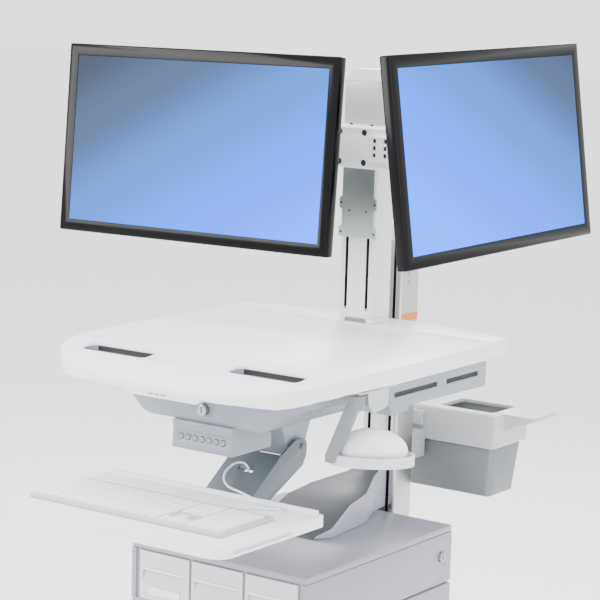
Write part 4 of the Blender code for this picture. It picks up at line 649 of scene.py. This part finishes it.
def make_screen(side):
    """The lit panel, with a map that carries its picture."""
    place, width, height = panel_frame(side)
    panel = block(
        f"lit_panel_{side}",
        (-width / 2, -0.0005, -height / 2),
        (width / 2, 0.0004, height / 2),
        0.0001,
        1,
    )
    layer = panel.data.uv_layers.new(name="panel")
    for loop in panel.data.loops:
        spot = panel.data.vertices[loop.vertex_index].co
        layer.data[loop.index].uv = (spot.x / width + 0.5, spot.z / height + 0.5)
    turned_to(panel, place)
    show(panel, f"monitor_{side}", f"display_{side}")
    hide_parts(f"screen_{side}")


def make_monitor_back(side):
    """Air slots drawn as black strips in painted shade, a mounting plate with screws, a socket row and buttons on
    the case.
    """
    place, width, height = panel_frame(side)
    body = f"monitor_{side}"
    back = 0.0285
    slots = copies(
        block("vent_shade", (-0.002, back - 0.0012, -0.018), (0.002, back + 0.0006, 0.018), 0.0006),
        f"vent_shades_{side}",
        [Vector((0.008 * (step - 15.5), 0.0, 0.092)) for step in range(32)],
    )
    # Painted shade: the black strips stand for the shade inside the air slots.
    show(turned_to(slots, place), body, "black_matt")
    plate = block(
        f"mount_plate_{side}",
        (-0.060, back - 0.001, -0.060),
        (0.060, back + 0.0012, 0.060),
        0.0008,
    )
    show(turned_to(plate, place), body, "hub_grey")
    screws = copies(
        screw("plate_screw", (0.0, back + 0.0018, 0.0), (0, 1, 0)),
        f"mount_screws_{side}",
        [Vector((0.050 * x, 0.0, 0.050 * z)) for x in (-1, 1) for z in (-1, 1)],
    )
    show(turned_to(screws, place), body, "screw_steel")
    sockets = copies(
        block("socket", (-0.009, back - 0.001, -0.004), (0.009, back + 0.0008, 0.004), 0.0008),
        f"sockets_{side}",
        [Vector((0.032 * step - 0.048, 0.0, -0.094)) for step in range(4)],
    )
    show(turned_to(sockets, place), body, "screw_steel")
    under = -height / 2 - 0.0207
    buttons = copies(
        block("key", (-0.006, 0.004, under - 0.0008), (0.006, 0.009, under + 0.002), 0.0006),
        f"menu_buttons_{side}",
        [Vector((width / 2 - 0.030 - 0.018 * step, 0.0, 0.0)) for step in range(5)],
    )
    show(turned_to(buttons, place), body, "black_matt")


# ---------------------------------------------------------------- worktop
HANDLE_X = 0.151
HANDLE_HALF = 0.0675
HANDLE_FRONT = -0.5028
HANDLE_BACK = -0.4652


def make_handle_slot_shade():
    """A black sleeve in each hand slot as painted shade for the slot's dark open depth, with a grey left end."""
    for side, label in ((-1, "left"), (1, "right")):
        x = side * HANDLE_X
        sleeve = block(
            f"handle_slot_shade_{label}",
            at(x - HANDLE_HALF, HANDLE_FRONT, -0.034),
            at(x + HANDLE_HALF, HANDLE_BACK, -0.0085),
            0.0,
        )
        edit_faces(sleeve, lambda face: abs(face.normal.z) > FACING)
        bpy.ops.mesh.delete(type="FACE")
        bpy.ops.object.mode_set(mode="OBJECT")
        round_edges(sleeve, 0.0098, 6)
        wall = sleeve.modifiers.new("wall", "SOLIDIFY")
        wall.thickness = 0.0022
        wall.offset = -1.0
        bpy.ops.object.modifier_apply(modifier=wall.name)
        smooth(sleeve)
        # Painted shade: the black sleeve stands for the shade inside the open hand slot.
        show(sleeve, "worktop_panel", "black_matt")
        end = at(x - HANDLE_HALF + 0.008, 0, 0).x
        second_finish(sleeve, "blue_grey_plastic", lambda middle, _, end=end: middle.x < end)


def make_lip_marks():
    """Three small status windows on the tab in front of the lock."""
    low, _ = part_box("worktop")
    face_y = low.y + 0.0095
    marks = copies(
        block("mark", (-0.0045, -0.0010, -0.0018), (0.0045, 0.0010, 0.0018), 0.0007),
        "lip_marks",
        [Vector((MIDDLE_X - 0.020 + 0.0125 * step, face_y, TOP - 0.0495)) for step in range(3)],
    )
    show(marks, "worktop_panel", "hub_grey")


# ---------------------------------------------------------------- keyboard
KEY_ROWS = (
    [1.0] * 15,
    [1.0] * 13 + [2.0],
    [1.5] + [1.0] * 12 + [1.5],
    [1.75] + [1.0] * 11 + [2.25],
    [2.25] + [1.0] * 10 + [2.75],
    [1.25, 1.25, 1.25, 6.25, 1.25, 1.25, 1.25, 1.25],
)
NAV_KEYS = (3, 3, 3, 0, 1, 3)
KEY_GAP = 0.0014


def make_keyboard():
    low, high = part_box("keyboard")
    deck_top = high.z - 0.0034
    deck = block("keyboard_deck", low, (high.x, high.y, deck_top), 0.0018, 3)
    show(deck, "tray", "rim_pale")
    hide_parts("keyboard")
    field = (low.x + 0.007, low.y + 0.008, high.x - 0.007, high.y - 0.016)
    unit = (field[2] - field[0]) / 22.5
    depth = (field[3] - field[1]) / len(KEY_ROWS)
    spots = []
    for row, widths in enumerate(KEY_ROWS):
        y = field[3] - depth * (row + 0.5)
        x = field[0]
        for width in widths:
            spots.append((x + width * unit / 2, y, width * unit))
            x += width * unit
        nav = field[0] + 15.25 * unit
        count = NAV_KEYS[row]
        for key in range(count):
            shift = 1.0 if count == 1 else key
            spots.append((nav + (shift + 0.5) * unit, y, unit))
        pad = field[0] + 18.5 * unit
        spots.extend((pad + (key + 0.5) * unit, y, unit) for key in range(4))
    keys = []
    for x, y, width in spots:
        keys.append(make_key((x, y, deck_top), width - KEY_GAP, depth - KEY_GAP, high.z))
    clear_selection()
    for key in keys:
        key.select_set(True)
    bpy.context.view_layer.objects.active = keys[0]
    bpy.ops.object.join()
    whole = bpy.context.object
    whole.name = "keyboard_keys"
    smooth(whole, 30)
    show(whole, "tray", "key_white")


def make_key(place, width, depth, top):
    """One key, narrower at its top, with a rounded upper edge."""
    clear_selection()
    height = top - place[2] + 0.0006
    bpy.ops.mesh.primitive_cube_add(size=1.0, location=(place[0], place[1], top - height / 2))
    key = bpy.context.object
    key.scale = (width, depth, height)
    settle(key)
    edit_faces(key, lambda face: face.normal.z > FACING)
    bpy.ops.mesh.inset(thickness=0.0009, depth=0.0)
    bpy.ops.mesh.inset(thickness=0.0012, depth=-0.0003)
    bpy.ops.object.mode_set(mode="OBJECT")
    for vertex in key.data.vertices:
        outer = max(abs(vertex.co.x - place[0]) / width, abs(vertex.co.y - place[1]) / depth)
        if vertex.co.z > top - 0.0001 and outer > 0.499:
            vertex.co.z -= 0.0006
    return key


def make_cable():
    """The keyboard's lead, which runs between the tray and the arm that holds its end."""
    piece = copy_of("keyboard_cable", "keyboard_lead")
    bpy.ops.object.mode_set(mode="EDIT")
    bpy.ops.mesh.select_all(action="SELECT")
    bpy.ops.mesh.remove_doubles(threshold=WELD)
    bpy.ops.object.mode_set(mode="OBJECT")
    smooth(piece, 60)
    piece.data.materials.clear()
    piece.data.materials.append(FINISHES["white_plastic"])
    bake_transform(piece)
    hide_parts("keyboard_cable")


# ---------------------------------------------------------------- mouse
def make_mouse():
    """A smoothly rounded mouse."""
    piece = copy_of("mouse", "mouse_shell")
    bpy.ops.object.mode_set(mode="EDIT")
    bpy.ops.mesh.select_all(action="SELECT")
    bpy.ops.mesh.remove_doubles(threshold=WELD)
    bpy.ops.mesh.tris_convert_to_quads(face_threshold=0.7, shape_threshold=0.7)
    bpy.ops.object.mode_set(mode="OBJECT")
    rounder = piece.modifiers.new("rounder", "SUBSURF")
    rounder.levels = 2
    rounder.render_levels = 2
    bpy.ops.object.modifier_apply(modifier=rounder.name)
    smooth(piece, 60)
    show(piece, "mouse_body", "mouse_white")
    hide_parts("mouse")


# ---------------------------------------------------------------- mast, column, cabinet and base
def make_mast_details():
    """A plain orange band and two screws on the right face."""
    low, high = MAST
    band = block(
        "mast_band",
        (high.x - 0.0010, low.y + 0.006, TOP - 0.004),
        (high.x + 0.0006, high.y - 0.004, TOP + 0.010),
        0.0002,
        1,
    )
    show(band, "chassis", "orange_band")
    screws = copies(
        screw("mast_screw", (high.x + 0.0006, 0.0, 0.0), (1, 0, 0), 0.0034),
        "mast_screws",
        [at(-MIDDLE_X, 0.104, height) for height in (0.083, 0.067)],
    )
    show(screws, "chassis", "screw_steel")


def make_groove_shade():
    """Black strips on the walls of the guide grooves of the mast and of the head column, as painted shade that
    darkens the narrow grooves.
    """
    for name, node, start, body in (
        ("mast_groove_shade", "mast", 0.005, "chassis"),
        ("column_groove_shade", "head_column", 0.026, "lift"),
    ):
        low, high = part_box(node)
        shade_strip = copies(
            block(
                "shade_strip",
                (-0.0003, 0.0006, low.z + start),
                (0.0002, 0.0086, high.z - 0.002),
                0.0001,
                1,
            ),
            f"{name}s",
            [
                Vector((MIDDLE_X + side * 0.022 + wall * 0.0028, low.y, 0.0))
                for side in (-1, 1)
                for wall in (-1, 1)
            ],
        )
        # Painted shade: black strips on the groove walls stand for the shade in the narrow grooves.
        show(shade_strip, body, "black_matt")


CAP_CHAMFER = 0.0105


def make_column_cover():
    """The pale cover and chamfered cap of the column's upper end, and the cable outlet at its foot."""
    low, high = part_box("head_column")
    bar_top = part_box("crossbar")[1].z
    skin = 0.0004
    cover = block(
        "column_cover",
        (low.x - skin, low.y - skin, bar_top + 0.0020),
        (high.x + skin, high.y + skin, high.z),
        0.0010,
        2,
    )
    show(cover, "lift", "cover_pale")
    cap_low, cap_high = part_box("head_cap")
    cap = block("head_cap_cover", (low.x, low.y, cap_low.z), cap_high, 0.0)
    for vertex in cap.data.vertices:
        upper = vertex.co.z > (cap_low.z + cap_high.z) / 2
        inset = CAP_CHAMFER if upper else 0.0
        vertex.co.x = low.x - skin + inset if vertex.co.x < MIDDLE_X else high.x + skin - inset
        vertex.co.y = low.y - skin + inset if vertex.co.y < (low.y + high.y) / 2 else high.y + skin
    round_edges(cap, 0.0012)
    smooth(cap)
    show(cap, "lift", "cover_pale")
    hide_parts("head_cap")
    outlet = block(
        "cable_outlet",
        (MIDDLE_X - 0.0235, low.y + 0.0012, low.z + 0.0012),
        (MIDDLE_X + 0.0235, low.y + 0.0030, low.z + 0.0092),
        0.0006,
    )
    show(outlet, "lift", "lever_grey")


BAR_FRONT_Y = SEAM_Y - 0.015 - 0.0006 - 0.0295


def make_clip_slot_shade():
    """Black inserts in the six openings of the cable clip on the crossbar, as painted shade in the openings."""
    low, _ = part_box("crossbar")
    front = BAR_FRONT_Y - 0.0064
    slots = copies(
        block("slot", (0.0003, 0.0, -0.0035), (0.0067, 0.0005, 0.0035), 0.0001, 1),
        "clip_opening_shade",
        [
            Vector((MIDDLE_X + x, front - 0.0008, low.z + 0.026 + 0.0125 * row))
            for x in (0.050, 0.072)
            for row in range(3)
        ],
    )
    # Painted shade: the black inserts stand for the shade inside the clip's openings.
    show(slots, "crossbar_unit", "black_matt")


def make_drawer_details():
    """A label card with a thin frame and a rounded grip edge on every drawer."""
    for number in range(1, 7):
        low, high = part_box(f"drawer_{number}")
        body = f"drawer_{number}_tray"
        middle = (low.x + high.x) / 2
        holder = block(
            f"label_frame_{number}",
            (middle - 0.036, low.y - 0.0012, low.z + 0.008),
            (middle + 0.036, low.y + 0.0006, low.z + 0.026),
            0.0005,
        )
        inset_faces(holder, (0, -1, 0), 0.0022, 0.0008)
        show(holder, body, "drawer_plastic")
        card = block(
            f"label_card_{number}",
            (middle - 0.0330, low.y - 0.0007, low.z + 0.0108),
            (middle + 0.0330, low.y + 0.0002, low.z + 0.0232),
            0.0001,
            1,
        )
        show(card, body, "card_white")
        grip = block(
            f"grip_edge_{number}",
            (low.x + 0.006, low.y - 0.0022, low.z + 0.0522),
            (high.x - 0.006, low.y + 0.0010, low.z + 0.0560),
            0.0010,
            3,
        )
        show(grip, body, "card_white")


def make_caster_details():
    """A hub disc on each side of each wheel, a swivel collar, and an axle nut."""
    for end in ("front", "rear"):
        for side in ("left", "right"):
            name = f"{end}_{side}"
            low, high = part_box(f"wheel_{name}")
            middle = (low + high) / 2
            for index, direction in enumerate((-1, 1)):
                face = middle.x + direction * ((high.x - low.x) / 2 - 0.0052)
                hub = disc(
                    f"hub_{name}_{index}",
                    (face, middle.y, middle.z),
                    (direction, 0, 0),
                    0.0325,
                    0.0024,
                    0.0006,
                    40,
                )
                inset_faces(hub, (direction, 0, 0), 0.009, 0.0010)
                show(hub, f"wheel_{name}", "hub_grey")
            fork_low, fork_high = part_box(f"caster_fork_{name}")
            swivel = next(j for j in frame["joints"] if j["name"] == f"caster_swivel_{name}")
            centre = Vector(swivel["pos_m"])
            collar = disc(
                f"collar_{name}",
                (centre.x, centre.y, fork_high.z - 0.0075),
                (0, 0, 1),
                0.0205,
                0.0050,
                0.0012,
                40,
            )
            show(collar, f"caster_{name}", "screw_steel")
            nuts = copies(
                disc("nut", (0, 0, 0), (1, 0, 0), 0.0085, 0.0030, 0.0008, 6),
                f"axle_nuts_{name}",
                [
                    Vector((fork_low.x + 0.0002, middle.y, middle.z)),
                    Vector((fork_high.x - 0.0002, middle.y, middle.z)),
                ],
            )
            show(nuts, f"caster_{name}", "screw_steel")


def make_power_details():
    """Status lights, an inlet socket and a seam band on the power module."""
    low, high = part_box("power_module")
    middle = (low.x + high.x) / 2
    band = block(
        "power_band",
        (low.x - 0.0006, low.y + 0.020, high.z - 0.030),
        (high.x + 0.0006, high.y - 0.020, high.z - 0.027),
        0.0005,
    )
    show(band, "chassis", "hub_grey")
    lights = copies(
        disc("light", (0, 0, 0), (0, -1, 0), 0.0022, 0.0016, 0.0004, 16),
        "status_lights",
        [Vector((middle + 0.012 * (step - 2), low.y - 0.0002, high.z - 0.020)) for step in range(5)],
    )
    show(lights, "chassis", "status_green")
    inlet = block(
        "power_inlet",
        (high.x - 0.0010, low.y + 0.060, low.z + 0.030),
        (high.x + 0.0014, low.y + 0.088, low.z + 0.054),
        0.0009,
    )
    inset_faces(inlet, (1, 0, 0), 0.003, 0.0016)
    show(inlet, "chassis", "black_matt")


def make_base_details():
    """A rubber bumper at each end of the base's arms."""
    base_low, base_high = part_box("base_frame")
    for end, y in (("front", -0.375), ("rear", 0.105)):
        for side, direction in (("left", -1), ("right", 1)):
            x = base_low.x if direction < 0 else base_high.x
            bumper = block(
                f"bumper_{end}_{side}",
                (min(x, x - direction * 0.004) - 0.0008, SEAM_Y + y - 0.016, base_low.z + 0.010),
                (max(x, x - direction * 0.004) + 0.0008, SEAM_Y + y + 0.016, base_low.z + 0.030),
                0.0016,
                3,
            )
            show(bumper, "chassis", "dark_rubber")


def make_housing_details():
    """Black inserts at the bottoms of the side slots as painted shade, and a ring around the lock."""
    low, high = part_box("computer_housing")
    for side, direction in (("left", -1), ("right", 1)):
        x = low.x if direction < 0 else high.x
        deep = x - direction * 0.0033
        for index, (start, end) in enumerate(((-0.274, -0.140), (-0.112, -0.006))):
            ends = sorted((deep, deep + direction * 0.0006))
            shade_insert = block(
                f"slot_shade_insert_{side}_{index}",
                (ends[0], SEAM_Y + start + 0.0004, high.z - 0.0336),
                (ends[1], SEAM_Y + end - 0.0004, high.z - 0.0254),
                0.0001,
                1,
            )
            # Painted shade: the black inserts stand for the shade at the bottoms of the side slots.
            show(shade_insert, "lift", "black_matt")
    lock_low, lock_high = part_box("front_lock")
    ring_place = (
        (lock_low.x + lock_high.x) / 2,
        low.y + 0.0121,
        (lock_low.z + lock_high.z) / 2,
    )
    clear_selection()
    bpy.ops.mesh.primitive_torus_add(
        location=ring_place,
        rotation=(math.pi / 2, 0.0, 0.0),
        major_radius=0.0118,
        minor_radius=0.0016,
        major_segments=40,
        minor_segments=10,
    )
    ring = bpy.context.object
    ring.name = "lock_ring"
    settle(ring)
    smooth(ring, 60)
    show(ring, "lift", "screw_steel")


def make_keypad_details():
    """Shallow rails above and below the row of buttons."""
    low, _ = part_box("keypad_box")
    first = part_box("keypad_button_1")
    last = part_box("keypad_button_7")
    for name, z in (("upper", first[1].z + 0.0042), ("lower", first[0].z - 0.0042)):
        rail = block(
            f"keypad_rail_{name}",
            (first[0].x - 0.005, low.y + 0.0022, z - 0.0007),
            (last[1].x + 0.005, low.y + 0.0060, z + 0.0007),
            0.0004,
        )
        show(rail, "lift", "blue_grey_plastic")


PLATE_HOLES = (
    (-0.018, 0.047),
    (0.018, 0.047),
    (0.035, 0.008),
    (0.035, 0.060),
    (-0.035, 0.008),
    (-0.035, 0.060),
)


def make_crossbar_details():
    """Bolts in the bar's four recesses, and black discs in the sliding plate's holes as painted shade."""
    low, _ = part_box("crossbar")
    bolts = copies(
        screw("bolt", (0, 0, 0), (0, -1, 0), 0.0057),
        "crossbar_bolts",
        [
            Vector((MIDDLE_X + x, BAR_FRONT_Y + 0.0022, low.z + z))
            for x in (-0.0255, 0.0255)
            for z in (0.0105, 0.0630)
        ],
    )
    show(bolts, "crossbar_unit", "black_matt")
    plate_low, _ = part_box("slider_plate")
    holes = copies(
        disc("hole", (0, 0, 0), (0, -1, 0), 0.0021, 0.0006, 0.0, 20),
        "plate_hole_shade",
        [
            Vector((MIDDLE_X + x, plate_low.y + 0.0007, plate_low.z + z))
            for x, z in PLATE_HOLES
        ],
    )
    # Painted shade: the black discs stand for the shade inside the plate's holes.
    show(holes, "crossbar_unit", "black_matt")


# ---------------------------------------------------------------- build
add_camera()
add_studio()
finish_nodes()
for which in ("left", "right"):
    make_screen(which)
    make_monitor_back(which)
make_handle_slot_shade()
make_lip_marks()
make_keyboard()
make_cable()
make_mouse()
make_mast_details()
make_groove_shade()
make_column_cover()
make_clip_slot_shade()
make_drawer_details()
make_caster_details()
make_power_details()
make_base_details()
make_housing_details()
make_keypad_details()
make_crossbar_details()
